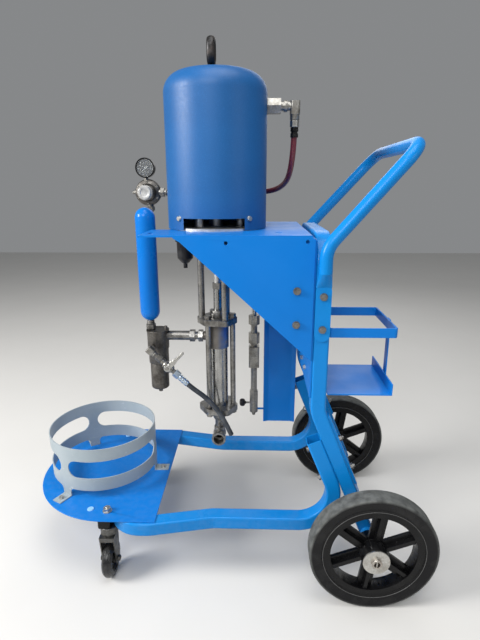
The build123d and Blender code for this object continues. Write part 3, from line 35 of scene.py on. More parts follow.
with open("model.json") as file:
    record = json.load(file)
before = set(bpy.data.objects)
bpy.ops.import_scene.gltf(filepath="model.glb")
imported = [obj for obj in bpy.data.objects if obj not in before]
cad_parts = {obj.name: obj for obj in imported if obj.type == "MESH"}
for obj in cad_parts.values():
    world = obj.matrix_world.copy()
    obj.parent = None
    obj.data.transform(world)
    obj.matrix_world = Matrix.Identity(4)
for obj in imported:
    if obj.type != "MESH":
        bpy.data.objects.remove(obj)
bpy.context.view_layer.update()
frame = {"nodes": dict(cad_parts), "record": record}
NODES = frame["nodes"]


# ------------------------------------------------------------------ camera

CAMERA_PLACE = (0.0862, -1.1697, 0.9728)
CAMERA_TURN = (74.0136, 0.1659, 1.9637)
SENSOR_WIDTH = 36
LENS = 26.04

camera_data = bpy.data.cameras.new("camera")
camera_data.lens = LENS
camera_data.sensor_width = SENSOR_WIDTH
camera = bpy.data.objects.new("camera", camera_data)
camera.location = CAMERA_PLACE
camera.rotation_euler = [radians(angle) for angle in CAMERA_TURN]
bpy.context.scene.collection.objects.link(camera)
bpy.context.scene.camera = camera

# -------------------------------------------------------- shared measures

tyre_low, tyre_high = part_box("wheel_near_tyre")
WHEEL_CENTRE = ((tyre_low.x + tyre_high.x) / 2, (tyre_low.z + tyre_high.z) / 2)

# ------------------------------------------------------- material building

# Noise scales are in waves per metre, and bump distances in metres.
NOISE_ROUGHNESS = 0.55


class Shader:
    """A node material with short calls for the nodes that the materials below share."""

    def __init__(self, name, metallic=0.0, roughness=0.5, coat=0.0, coat_roughness=0.1):
        self.material = bpy.data.materials.new(name)
        self.material.use_nodes = True
        self.tree = self.material.node_tree
        self.surface = self.tree.nodes["Principled BSDF"]
        self.surface.inputs["Metallic"].default_value = metallic
        self.surface.inputs["Roughness"].default_value = roughness
        self.surface.inputs["Coat Weight"].default_value = coat
        self.surface.inputs["Coat Roughness"].default_value = coat_roughness
        self.place = self.tree.nodes.new("ShaderNodeTexCoord").outputs["Object"]
        self.bump_before = None

    def link(self, start, end):
        self.tree.links.new(start, end)

    def stretched(self, stretch):
        """Object space with each axis scaled, so that a texture can be drawn out along one."""
        mapping = self.tree.nodes.new("ShaderNodeMapping")
        mapping.inputs["Scale"].default_value = stretch
        self.link(self.place, mapping.inputs["Vector"])
        return mapping.outputs["Vector"]

    def noise(self, scale, detail=4.0, stretch=(1, 1, 1)):
        """Cloudy noise in object space."""
        noise = self.tree.nodes.new("ShaderNodeTexNoise")
        noise.inputs["Scale"].default_value = scale
        noise.inputs["Detail"].default_value = detail
        noise.inputs["Roughness"].default_value = NOISE_ROUGHNESS
        self.link(self.stretched(stretch), noise.inputs["Vector"])
        return noise.outputs["Fac"]

    def cells(self, scale, stretch):
        """Distance to the nearest cell centre."""
        cells = self.tree.nodes.new("ShaderNodeTexVoronoi")
        cells.inputs["Scale"].default_value = scale
        self.link(self.stretched(stretch), cells.inputs["Vector"])
        return cells.outputs["Distance"]

    def ramp(self, value, low, high, start=0.0, end=1.0):
        """Value mapped from low..high to start..end, and held outside."""
        node = self.tree.nodes.new("ShaderNodeMapRange")
        node.inputs["From Min"].default_value = low
        node.inputs["From Max"].default_value = high
        node.inputs["To Min"].default_value = start
        node.inputs["To Max"].default_value = end
        self.link(value, node.inputs["Value"])
        return node.outputs["Result"]

    def multiply(self, first, second):
        node = self.tree.nodes.new("ShaderNodeMath")
        node.operation = "MULTIPLY"
        self.link(first, node.inputs[0])
        self.link(second, node.inputs[1])
        return node.outputs["Value"]

    def ripple(self, value, pace):
        """Sine of a value times a pace, for concentric moulded lines."""
        scaled = self.tree.nodes.new("ShaderNodeMath")
        scaled.operation = "MULTIPLY"
        scaled.inputs[1].default_value = pace
        self.link(value, scaled.inputs[0])
        wave = self.tree.nodes.new("ShaderNodeMath")
        wave.operation = "SINE"
        self.link(scaled.outputs["Value"], wave.inputs[0])
        return wave.outputs["Value"]

    def axis(self, letter):
        """One coordinate in the model's frame."""
        split = self.tree.nodes.new("ShaderNodeSeparateXYZ")
        self.link(self.place, split.inputs["Vector"])
        return split.outputs[letter]

    def axle_distance(self, x, z):
        """Distance from an axle along Y that passes through x, z."""
        away = self.tree.nodes.new("ShaderNodeVectorMath")
        away.operation = "SUBTRACT"
        away.inputs[1].default_value = (x, 0, z)
        self.link(self.place, away.inputs[0])
        flat = self.tree.nodes.new("ShaderNodeVectorMath")
        flat.operation = "MULTIPLY"
        flat.inputs[1].default_value = (1, 0, 1)
        self.link(away.outputs["Vector"], flat.inputs[0])
        length = self.tree.nodes.new("ShaderNodeVectorMath")
        length.operation = "LENGTH"
        self.link(flat.outputs["Vector"], length.inputs[0])
        return length.outputs["Value"]

    def mix(self, share, first, second):
        """Colour mix: each side is an RGB tuple or a socket."""
        node = self.tree.nodes.new("ShaderNodeMix")
        node.data_type = "RGBA"
        self.link(share, node.inputs["Factor"])
        for side, value in (("A", first), ("B", second)):
            socket = next(s for s in node.inputs if s.name == side and s.type == "RGBA")
            if isinstance(value, tuple):
                socket.default_value = (*value, 1)
            else:
                self.link(value, socket)
        return next(s for s in node.outputs if s.type == "RGBA")

    def colour(self, value):
        self.link(value, self.surface.inputs["Base Color"])

    def rough(self, value):
        self.link(value, self.surface.inputs["Roughness"])

    def bump(self, value, strength, distance):
        """Adds one bump on top of those before it."""
        node = self.tree.nodes.new("ShaderNodeBump")
        node.inputs["Strength"].default_value = strength
        node.inputs["Distance"].default_value = distance
        self.link(value, node.inputs["Height"])
        if self.bump_before is not None:
            self.link(self.bump_before, node.inputs["Normal"])
        self.bump_before = node.outputs["Normal"]
        self.link(self.bump_before, self.surface.inputs["Normal"])


PALE_DUST = (0.42, 0.45, 0.48)
DUST_FULL_Z = 0.10
DUST_GONE_Z = 0.24


def gloss_paint(name, paint, deep, shine=0.28):
    """Glossy sprayed enamel: slight orange peel, cloudy gloss, small scuffs and low dust."""
    s = Shader(name, roughness=shine, coat=0.10, coat_roughness=0.15)
    s.surface.inputs["Specular IOR Level"].default_value = 0.15
    cloud = s.ramp(s.noise(3), low=0.30, high=0.70)
    body = s.mix(cloud, paint, deep)
    scuff = s.ramp(s.noise(60, detail=8, stretch=(1, 1, 0.25)), low=0.66, high=0.74)
    body = s.mix(s.multiply(scuff, s.ramp(s.noise(4), low=0.45, high=0.6, start=0, end=0.5)), body, deep)
    low_down = s.ramp(s.axis("Z"), low=DUST_FULL_Z, high=DUST_GONE_Z, start=0.07, end=0.0)
    settled = s.multiply(low_down, s.ramp(s.noise(70, detail=8), low=0.42, high=0.62))
    s.colour(s.mix(settled, body, PALE_DUST))
    s.rough(s.ramp(s.noise(14, detail=6), low=0.3, high=0.7, start=shine - 0.06, end=shine + 0.16))
    s.bump(s.noise(420, detail=2), strength=0.05, distance=0.0004)
    return s.material


def hammer_paint(name, paint, deep):
    """Semi-matt textured enamel of the motor cover: fine leather-like grain, faint streaks and small painted
    highlights.
    """
    s = Shader(name, roughness=0.42)
    s.surface.inputs["Specular IOR Level"].default_value = 0.40
    streak = s.ramp(s.noise(7, detail=5, stretch=(0.3, 0.3, 1)), low=0.3, high=0.7)
    body = s.mix(streak, paint, deep)
    # Painted highlights: small spots of a lighter copy of the paint, standing in for glints on the textured
    # enamel.
    painted_glints = s.ramp(s.noise(500, detail=3), low=0.5, high=0.8, start=0, end=0.35)
    pale = tuple(channel * 1.6 + 0.02 for channel in paint)
    s.colour(s.mix(painted_glints, body, pale))
    s.rough(s.ramp(s.noise(120, detail=4), low=0.3, high=0.7, start=0.42, end=0.50))
    s.bump(s.noise(330, detail=3), strength=0.16, distance=0.0006)
    s.bump(s.noise(420, detail=4, stretch=(0.08, 0.08, 1)), strength=0.25, distance=0.0006)
    return s.material


def grey_paint():
    """Grey enamel of the pail ring, rubbed pale in places."""
    s = Shader("grey_hoop_paint", roughness=0.42, coat=0.12, coat_roughness=0.3)
    body = s.mix(s.ramp(s.noise(8), low=0.35, high=0.65), (0.27, 0.32, 0.35), (0.32, 0.37, 0.40))
    rub = s.ramp(s.noise(45, detail=8, stretch=(1, 1, 2)), low=0.64, high=0.72, start=0, end=0.5)
    s.colour(s.mix(rub, body, (0.46, 0.49, 0.52)))
    s.rough(s.ramp(s.noise(30), low=0.3, high=0.7, start=0.36, end=0.52))
    s.bump(s.noise(380, detail=2), strength=0.12, distance=0.0004)
    return s.material


def used_steel(name, bright, dark, stain, rough, stretch=(1, 1, 1), grime=0.5, dents=0.10):
    """Worked steel: drawn or turned grain, darker patches and dried paint or rust stains."""
    s = Shader(name, metallic=1.0, roughness=rough)
    grain = s.noise(240, detail=5, stretch=stretch)
    body = s.mix(s.ramp(grain, low=0.3, high=0.7), bright, dark)
    patch = s.ramp(s.noise(34, detail=7), low=0.48, high=0.68, start=0, end=grime)
    s.colour(s.mix(patch, body, stain))
    s.rough(s.ramp(s.noise(60, detail=6), low=0.3, high=0.7, start=rough - 0.08, end=rough + 0.2))
    s.bump(grain, strength=0.12, distance=0.0003)
    s.bump(s.noise(90, detail=4), strength=dents, distance=0.0006)
    return s.material


def steel_with_painted_frame_reflection():
    """Used steel with a painted reflection of the blue frame on the side towards the frame."""
    s = Shader("steel_with_painted_frame_reflection", metallic=0.6, roughness=0.40)
    low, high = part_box("pump_cylinder")
    across = s.ramp(s.axis("X"), low=(low.x + high.x) / 2, high=high.x, start=0.0, end=0.85)
    steel = s.mix(s.noise(70, detail=7), (0.24, 0.22, 0.20), (0.11, 0.10, 0.09))
    # Painted reflection: blue mixed into the steel's colour, in patches, on the half of the cylinder towards
    # the frame.
    frame_reflection_mask = s.multiply(across, s.ramp(s.noise(80, detail=8), low=0.30, high=0.50, start=0.35, end=1.0))
    s.colour(s.mix(frame_reflection_mask, steel, (0.010, 0.130, 0.420)))
    s.rough(s.ramp(s.noise(50), low=0.3, high=0.7, start=0.34, end=0.52))
    s.bump(s.noise(160, detail=5), strength=0.15, distance=0.0005)
    return s.material


def bare_rubber(name, body, dust, low, high, share):
    """Rubber with dust held in its pores. Its roughness runs from low to high."""
    s = Shader(name, roughness=low)
    powder = s.ramp(s.noise(40, detail=8), low=0.42, high=0.70, start=0, end=share)
    s.colour(s.mix(powder, body, dust))
    s.rough(s.ramp(s.noise(90, detail=5), low=0.3, high=0.7, start=low, end=high))
    s.bump(s.noise(700, detail=3), strength=0.18, distance=0.0004)
    s.bump(s.noise(60, detail=5), strength=0.12, distance=0.0008)
    return s.material


TYRE_EDGE_R = 0.143


def cart_tyre():
    """Solid tyre: black glossy sides with fine moulded rings, dust-grey rolling face."""
    s = Shader("cart_tyre_rubber", roughness=0.30)
    s.surface.inputs["Specular IOR Level"].default_value = 0.20
    away = s.axle_distance(WHEEL_CENTRE[0], WHEEL_CENTRE[1])
    rolling_face = s.ramp(away, low=TYRE_EDGE_R, high=0.1485)
    patchy = s.ramp(s.noise(55, detail=8), low=0.30, high=0.62, start=0.35, end=1.0)
    powder = s.multiply(rolling_face, patchy)
    smudge = s.ramp(s.noise(30, detail=7), low=0.5, high=0.75, start=0, end=0.4)
    side = s.mix(smudge, (0.005, 0.005, 0.006), (0.030, 0.030, 0.029))
    s.colour(s.mix(powder, side, (0.120, 0.125, 0.120)))
    s.rough(s.ramp(away, low=TYRE_EDGE_R, high=0.149, start=0.26, end=0.80))
    rings = s.ramp(s.ripple(away, 1400), low=-1, high=1)
    s.bump(rings, strength=0.10, distance=0.0004)
    s.bump(s.noise(500, detail=4), strength=0.12, distance=0.0004)
    return s.material


def moulded_plastic(name, body, dust, rough):
    """Moulded plastic with a fine grain and a light haze of dust."""
    s = Shader(name, roughness=rough)
    s.surface.inputs["Specular IOR Level"].default_value = 0.22
    s.colour(s.mix(s.ramp(s.noise(28, detail=7), low=0.5, high=0.75, start=0, end=0.25), body, dust))
    s.rough(s.ramp(s.noise(70), low=0.3, high=0.7, start=rough - 0.1, end=rough + 0.15))
    s.bump(s.noise(900, detail=2), strength=0.15, distance=0.0003)
    return s.material


def braided_hose():
    """Red air hose: a fine pattern of cells, like a weave, under a smooth skin."""
    s = Shader("red_hose_skin", roughness=0.38, coat=0.2, coat_roughness=0.25)
    weave = s.ramp(s.cells(420, stretch=(1, 1, 0.6)), low=0.15, high=0.6)
    body = s.mix(weave, (0.075, 0.008, 0.014), (0.150, 0.018, 0.032))
    s.colour(s.mix(s.ramp(s.noise(30), low=0.55, high=0.75, start=0, end=0.35), body, (0.20, 0.09, 0.09)))
    s.bump(weave, strength=0.25, distance=0.0004)
    return s.material


def clear_glass():
    """Thin gauge glass, lightly smeared."""
    s = Shader("gauge_glass", roughness=0.04)
    s.surface.inputs["Specular IOR Level"].default_value = 0.12
    s.surface.inputs["Transmission Weight"].default_value = 0.9
    s.surface.inputs["IOR"].default_value = 1.46
    smear = s.ramp(s.noise(120, detail=6), low=0.4, high=0.8, start=0.03, end=0.12)
    s.rough(smear)
    s.colour(s.mix(s.ramp(s.noise(40), low=0.3, high=0.7), (0.86, 0.89, 0.90), (0.95, 0.97, 0.97)))
    return s.material


BLUE_TUBE = gloss_paint("blue_tube_enamel", paint=(0.004, 0.200, 0.560), deep=(0.003, 0.178, 0.510))
BLUE_SHEET = gloss_paint("blue_sheet_enamel", paint=(0.003, 0.158, 0.530), deep=(0.002, 0.142, 0.485),
                         shine=0.36)
BLUE_TANK = gloss_paint("blue_tank_enamel", paint=(0.003, 0.150, 0.520), deep=(0.002, 0.125, 0.460),
                        shine=0.22)
BLUE_COVER = hammer_paint("blue_cover_enamel", paint=(0.003, 0.092, 0.285),
                          deep=(0.002, 0.072, 0.230))
PALE_PLUG = moulded_plastic("pale_plug_plastic", body=(0.24, 0.46, 0.76), dust=(0.5, 0.6, 0.7),
                            rough=0.3)
GREY_HOOP = grey_paint()
ZINC = used_steel("zinc_plate", bright=(0.62, 0.61, 0.58), dark=(0.46, 0.45, 0.42),
                  stain=(0.22, 0.19, 0.15), rough=0.36, grime=0.45)
AXLE_STEEL = used_steel("axle_steel", bright=(0.52, 0.49, 0.45), dark=(0.36, 0.33, 0.29),
                        stain=(0.16, 0.09, 0.05), stretch=(1, 0.1, 1), rough=0.40, grime=0.7)
DARK_STEEL = used_steel("dark_steel", bright=(0.06, 0.06, 0.062), dark=(0.03, 0.03, 0.03),
                        stain=(0.10, 0.08, 0.07), rough=0.42)
CAST_SILVER = used_steel("cast_silver", bright=(0.66, 0.66, 0.65), dark=(0.52, 0.52, 0.51),
                         stain=(0.24, 0.22, 0.20), rough=0.42, grime=0.4)
PUMP_STEEL = used_steel("pump_steel", bright=(0.34, 0.33, 0.31), dark=(0.20, 0.195, 0.185),
                        stain=(0.075, 0.068, 0.060), rough=0.34, grime=0.65)
ROD_STEEL = used_steel("turned_steel", bright=(0.42, 0.42, 0.41), dark=(0.26, 0.26, 0.255),
                       stain=(0.10, 0.095, 0.085), stretch=(1, 1, 0.06), rough=0.20, grime=0.15,
                       dents=0.01)
FITTING = used_steel("plated_fitting", bright=(0.47, 0.465, 0.44), dark=(0.34, 0.335, 0.32),
                     stain=(0.15, 0.135, 0.11), rough=0.26, grime=0.5)
AGED_FITTING = used_steel("aged_fitting", bright=(0.36, 0.35, 0.325), dark=(0.23, 0.22, 0.20),
                          stain=(0.10, 0.088, 0.072), rough=0.38, grime=0.6)
BOLT_STEEL = used_steel("bolt_steel", bright=(0.30, 0.295, 0.28), dark=(0.19, 0.185, 0.175),
                        stain=(0.08, 0.07, 0.06), rough=0.36, grime=0.5)
FORK_STEEL = used_steel("fork_steel", bright=(0.16, 0.158, 0.152), dark=(0.09, 0.088, 0.084),
                        stain=(0.045, 0.04, 0.035), rough=0.36, grime=0.5)
CART_TYRE = cart_tyre()
CASTER_TYRE = bare_rubber("caster_tyre_rubber", body=(0.006, 0.006, 0.007), dust=(0.05, 0.05, 0.048),
                          low=0.18, high=0.34, share=0.3)
BLACK_HOSE = bare_rubber("hose_rubber", body=(0.018, 0.022, 0.028), dust=(0.20, 0.21, 0.22), low=0.42,
                         high=0.6, share=0.35)
BLACK_PLASTIC = moulded_plastic("black_moulding", body=(0.003, 0.003, 0.0035),
                                dust=(0.022, 0.022, 0.022), rough=0.28)
WORN_EDGE = moulded_plastic("worn_moulding_edge", body=(0.12, 0.12, 0.118), dust=(0.04, 0.04, 0.04),
                            rough=0.35)
PALE_FERRULE = used_steel("pale_ferrule", bright=(0.60, 0.68, 0.76), dark=(0.45, 0.54, 0.62),
                          stain=(0.20, 0.24, 0.28), rough=0.30, grime=0.35)
BROWN_STEEL = used_steel("brown_cast_steel", bright=(0.17, 0.16, 0.148), dark=(0.105, 0.098, 0.09),
                         stain=(0.045, 0.038, 0.033), rough=0.42, grime=0.7)
DARK_PLASTIC = moulded_plastic("dark_plastic", body=(0.012, 0.012, 0.014), dust=(0.10, 0.10, 0.10),
                               rough=0.35)
RED_HOSE = braided_hose()
NEEDLE = moulded_plastic("needle_paint", body=(0.75, 0.74, 0.70), dust=(0.5, 0.5, 0.48), rough=0.4)
GLASS = clear_glass()

NODE_MATERIALS = {
    "blue_tube": BLUE_TUBE, "blue_sheet": BLUE_SHEET, "pale_plug": PALE_PLUG, "grey_hoop": GREY_HOOP,
    "zinc": ZINC, "axle_steel": AXLE_STEEL, "black_moulding": BLACK_PLASTIC, "black_tyre": CART_TYRE,
    "blue_cover": BLUE_COVER, "dark_steel": DARK_STEEL, "cast_silver": CAST_SILVER, "pump_steel": PUMP_STEEL,
    "polished_rod": ROD_STEEL, "blue_tank": BLUE_TANK, "plated_fittings": FITTING,
    "aged_fittings": AGED_FITTING, "red_hose": RED_HOSE, "black_hose": BLACK_HOSE,
    "dark_plastic": DARK_PLASTIC, "needle_paint": NEEDLE,
}
SMOOTH_ANGLE = radians(32)
WELD_GAP = 0.00001


def dress(item, material):
    """One material on the whole object."""
    item.data.materials.clear()
    item.data.materials.append(material)


for entry in frame["record"]["subparts"]:
    dress(NODES[entry["node"]], NODE_MATERIALS[entry["material_slot"]])

# ---------------------------------------------------------- piece building


def place(item, body, slot, *nodes, material=None):
    """Dresses a piece, lets it ride on its body and hides the CAD nodes it stands for."""
    bpy.context.scene.collection.objects.link(item)
    dress(item, material or NODE_MATERIALS[slot])
    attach(item, body)
    if nodes:
        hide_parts(*nodes)
    return item


def nurbs(name, points, radius):
    """Round hose along a smooth curve with these control points."""
    curve = bpy.data.curves.new(name, "CURVE")
    curve.dimensions = "3D"
    curve.resolution_u = 24
    curve.bevel_depth = radius
    curve.bevel_resolution = 8
    curve.use_fill_caps = True
    spline = curve.splines.new("NURBS")
    spline.points.add(len(points) - 1)
    for control, point in zip(spline.points, points):
        control.co = (*point, 1)
    spline.order_u = 3
    spline.use_endpoint_u = True
    return bpy.data.objects.new(name, curve)


def turned(axis, origin):
    """Matrix that stands local Z along an axis at an origin."""
    return Matrix.Translation(origin) @ Vector(axis).to_track_quat("Z", "Y").to_matrix().to_4x4()


def lathe(mesh, where, profile, segments=72, closed=False):
    """Revolves (radius, along) points about local Z. A radius of 0 closes the end to a point."""
    rings = []
    for radius, along in profile:
        if radius == 0:
            rings.append([mesh.verts.new(where @ Vector((0, 0, along)))])
            continue
        rings.append([mesh.verts.new(where @ Vector((radius * cos(tau * k / segments),
                                                     radius * sin(tau * k / segments), along)))
                      for k in range(segments)])
    pairs = list(zip(rings, rings[1:]))
    if closed:
        pairs.append((rings[-1], rings[0]))
    for first, second in pairs:
        for k in range(segments):
            following = (k + 1) % segments
            corners = [first[k % len(first)], first[following % len(first)],
                       second[following % len(second)], second[k % len(second)]]
            mesh.faces.new(list(dict.fromkeys(corners)))
    if not closed:
        for ring in (rings[0], rings[-1]):
            if len(ring) > 1:
                mesh.faces.new(ring)


def prism(mesh, where, outline, low, high):
    """Extrudes a flat outline along local Z."""
    bottom = [mesh.verts.new(where @ Vector((x, y, low))) for x, y in outline]
    top = [mesh.verts.new(where @ Vector((x, y, high))) for x, y in outline]
    mesh.faces.new(bottom[::-1])
    mesh.faces.new(top)
    for k in range(len(outline)):
        following = (k + 1) % len(outline)
        mesh.faces.new((bottom[k], bottom[following], top[following], top[k]))


def hexagon(flats, turn=0.0, sides=6):
    """Regular outline by its distance across flats."""
    reach = flats / 2 / cos(pi / sides)
    return [(reach * cos(turn + tau * k / sides), reach * sin(turn + tau * k / sides)) for k in range(sides)]


def box_outline(wide, deep):
    return [(-wide / 2, -deep / 2), (wide / 2, -deep / 2), (wide / 2, deep / 2), (-wide / 2, deep / 2)]


def mirrored(profile):
    """The same profile on the other side of its middle, in the order that continues it."""
    return [(radius, -along) for radius, along in reversed(profile)]


def round_edges(item, width):
    """Small bevel on the sharp edges only."""
    rounding = item.modifiers.new("rounded edges", "BEVEL")
    rounding.width = width
    rounding.segments = 2
    rounding.limit_method = "ANGLE"
    rounding.angle_limit = SMOOTH_ANGLE
    rounding.harden_normals = True


def finish_mesh(mesh, name, bevel=0.0006):
    """Mesh object with smooth sides, its sharp edges rounded by a bevel of that width."""
    bmesh.ops.recalc_face_normals(mesh, faces=mesh.faces)
    data = bpy.data.meshes.new(name)
    mesh.to_mesh(data)
    mesh.free()
    data.polygons.foreach_set("use_smooth", [True] * len(data.polygons))
    data.set_sharp_from_angle(angle=SMOOTH_ANGLE)
    item = bpy.data.objects.new(name, data)
    if bevel:
        round_edges(item, bevel)
    return item


def soften(node, width):
    """Rounds the sharp edges of a CAD node, which keeps its own mesh."""
    item = NODES[node]
    weld = item.modifiers.new("weld", "WELD")
    weld.merge_threshold = WELD_GAP
    round_edges(item, width)


# ------------------------------------------------------------------- hoses

DRAIN_START = Vector((-0.183, -0.058, 0.571))
DRAIN_SLOPE = radians(-44.7)
DRAIN_WAY = Vector((cos(DRAIN_SLOPE), 0, sin(DRAIN_SLOPE)))
DRAIN_EXIT_ALONG = 0.131
DRAIN_STRAIGHT_END = 0.145
DRAIN_HOSE_R = 0.0065
AIR_HOSE_R = 0.007
drain_exit = DRAIN_START + DRAIN_WAY * DRAIN_EXIT_ALONG
drain_second = DRAIN_START + DRAIN_WAY * DRAIN_STRAIGHT_END
drain_points = [drain_exit, drain_second, (-0.038, -0.059, 0.438), (0, -0.059, 0.388),
                (0.023, -0.058, 0.333)]
drain_hose = place(nurbs("drain_hose_skin", drain_points, DRAIN_HOSE_R), "frame", "black_hose", "drain_hose")

air_points = [(0.174, 0, 1.120), (0.174, 0, 1.018), (0.152, 0.112, 0.965), (0.062, 0.141, 0.959),
              (-0.035, 0.140, 0.960), (-0.156, 0.140, 0.960)]
air_hose = place(nurbs("air_hose_skin", air_points, AIR_HOSE_R), "frame", "red_hose", "air_hose")

# ------------------------------------------------------------- frame edges

SHEET_EDGE = 0.0008
SHEET_AND_TUBE = ("base_tube", "upright_tube", "axle_tube", "pump_bracket", "back_plate", "front_plate",
                  "side_panel", "rear_shelf", "shelf_rail", "joint_strips")
CAST_EDGE = 0.0007
CAST_AND_TURNED = ("caster_near_fork", "caster_far_fork", "caster_spacers", "air_inlet", "outlet_pipe",
                   "foot_valve", "upper_flange", "suction_elbow", "air_drop", "wheel_near_hub",
                   "wheel_far_hub", "frame_bolts", "packing_nut", "outlet_body", "filter_head",
                   "filter_bowl", "air_filter")
# The outlet body's steel carries a painted reflection of the blue frame on its side towards the frame.
NODE_LOOKS = {
    "filter_head": BROWN_STEEL, "filter_bowl": BROWN_STEEL, "outlet_body": steel_with_painted_frame_reflection(),
    "air_inlet": AGED_FITTING, "frame_bolts": BOLT_STEEL, "caster_near_fork": FORK_STEEL,
    "caster_far_fork": FORK_STEEL,
}

for node in SHEET_AND_TUBE:
    soften(node, SHEET_EDGE)
for node in CAST_AND_TURNED:
    soften(node, CAST_EDGE)
for node, look in NODE_LOOKS.items():
    dress(NODES[node], look)

# ------------------------------------------------------------- rear wheels

RIM_LIP_R = 0.1195
LIP = 0.0005
LIP_SIDES = 8
WHEEL_STEPS = 96
SIDES = ("near", "far")


def rim_lips(side):
    """Thin worn lips where the tyre meets the hub's rim, on both faces of a wheel."""
    low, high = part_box(f"wheel_{side}_tyre")
    section = [(RIM_LIP_R + LIP * cos(tau * k / LIP_SIDES), LIP * sin(tau * k / LIP_SIDES))
               for k in range(LIP_SIDES)]
    mesh = bmesh.new()
    for y in (low.y + LIP / 2, high.y - LIP / 2):
        where = turned((0, 1, 0), (WHEEL_CENTRE[0], y, WHEEL_CENTRE[1]))
        lathe(mesh, where, section, segments=WHEEL_STEPS, closed=True)
    place(finish_mesh(mesh, f"wheel_{side}_rim_lips", bevel=0), f"wheel_{side}", "black_moulding",
          material=WORN_EDGE)


for side in SIDES:
    rim_lips(side)

# ----------------------------------------------------------- caster wheels

CASTER_AXLE_HOLE = 0.0041
CASTER_RIM = 0.0305
TREAD_INSET = 0.0021
TREAD_CLEAR = 0.0001


def caster_wheel(side):
    """Rounded rubber tread on a dished plastic core, both turned about the wheel bolt."""
    low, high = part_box(f"caster_{side}_wheel")
    where = turned((1, 0, 0), (low + high) / 2)
    half = (high.x - low.x) / 2
    tread_half = half - TREAD_INSET
    radius = (high.z - low.z) / 2 - TREAD_CLEAR
    tread = [(CASTER_RIM, -tread_half), (0.0385, -tread_half), (0.0400, -tread_half + 0.0008),
             (0.0405, -tread_half), (0.0432, -tread_half + 0.0025), (radius - 0.0009, -0.0056),
             (radius - 0.0014, -0.0050), (radius - 0.0002, -0.0040)]
    mesh = bmesh.new()
    lathe(mesh, where, [*tread, (radius, 0), *mirrored(tread)], closed=True)
    place(finish_mesh(mesh, f"caster_{side}_tread", bevel=0.0003), f"caster_{side}_roll", "black_tyre",
          f"caster_{side}_wheel", material=CASTER_TYRE)
    core = [(CASTER_AXLE_HOLE, -half), (0.0105, -half), (0.0120, -half + 0.002), (0.0130, -0.0070),
            (0.0250, -0.0062), (0.0275, -0.0105), (0.0298, -0.0112), (0.0304, -0.0100)]
    mesh = bmesh.new()
    lathe(mesh, where, [*core, *mirrored(core)], closed=True)
    place(finish_mesh(mesh, f"caster_{side}_core", bevel=0.0003), f"caster_{side}_roll", "black_moulding",
          f"caster_{side}_wheel", material=BLACK_PLASTIC)


for side in SIDES:
    caster_wheel(side)

# ------------------------------------------------------ surge tank and neck

TANK_R = 0.025
TANK_NECK_R = 0.008
NECK_CLEAR = 0.0008
TANK_LOW = 0.636
DOME_STEPS = 14
# Each weld line as (distance from the end of the dome, rise above the tank's wall).
WELD_LINE = ((0.006, 0), (0.0075, 0.0001), (0.009, 0))


def surge_tank():
    """Painted capsule with a weld line near each end, on a steel hexagon neck."""
    low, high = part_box("surge_tank")
    foot = Vector(((low.x + high.x) / 2, 0, low.z))
    where = turned((0, 0, 1), foot)
    low_dome = TANK_LOW - foot.z + TANK_R
    high_dome = high.z - foot.z - TANK_R
    start = asin((TANK_NECK_R + NECK_CLEAR) / TANK_R)
    low_turns = [start + (pi / 2 - start) * k / DOME_STEPS for k in range(DOME_STEPS + 1)]
    high_turns = [pi / 2 * k / DOME_STEPS for k in range(DOME_STEPS)]
    profile = [(TANK_R * sin(turn), low_dome - TANK_R * cos(turn)) for turn in low_turns]
    profile += [(TANK_R + rise, low_dome + away) for away, rise in WELD_LINE]
    profile += [(TANK_R + rise, high_dome - away) for away, rise in reversed(WELD_LINE)]
    profile += [(TANK_R * cos(turn), high_dome + TANK_R * sin(turn)) for turn in high_turns]
    profile.append((0, high_dome + TANK_R))
    mesh = bmesh.new()
    lathe(mesh, where, profile)
    place(finish_mesh(mesh, "tank_shell", bevel=0), "frame", "blue_tank", "surge_tank")
    mesh = bmesh.new()
    lathe(mesh, where, [(TANK_NECK_R, 0), (TANK_NECK_R, 0.0265), (0, 0.0265)])
    prism(mesh, where, hexagon(flats=0.022, turn=radians(8)), low=0.0015, high=0.0150)
    collar = [(0.0092, 0.0150), (0.0105, 0.0158), (0.0105, 0.0195), (0.0088, 0.0205), (0.0098, 0.0215),
              (0.0098, 0.0240), (0.0085, 0.0250)]
    lathe(mesh, where, collar)
    place(finish_mesh(mesh, "tank_neck"), "frame", "pump_steel", "surge_tank")


surge_tank()

# ------------------------------------------------------- drain valve, lever

PIVOT_ALONG = 0.062
DRAIN_PIVOT = DRAIN_START + DRAIN_WAY * PIVOT_ALONG
# Known fault: the stub stops about 8 mm short of the filter head's wall.
STUB_START = -0.0230
LEVER_OUT = (0.0114, 0.0164)
LEVER_TIP = 0.058
LEVER_TIP_R = 0.0034
TIP_STEPS = 8


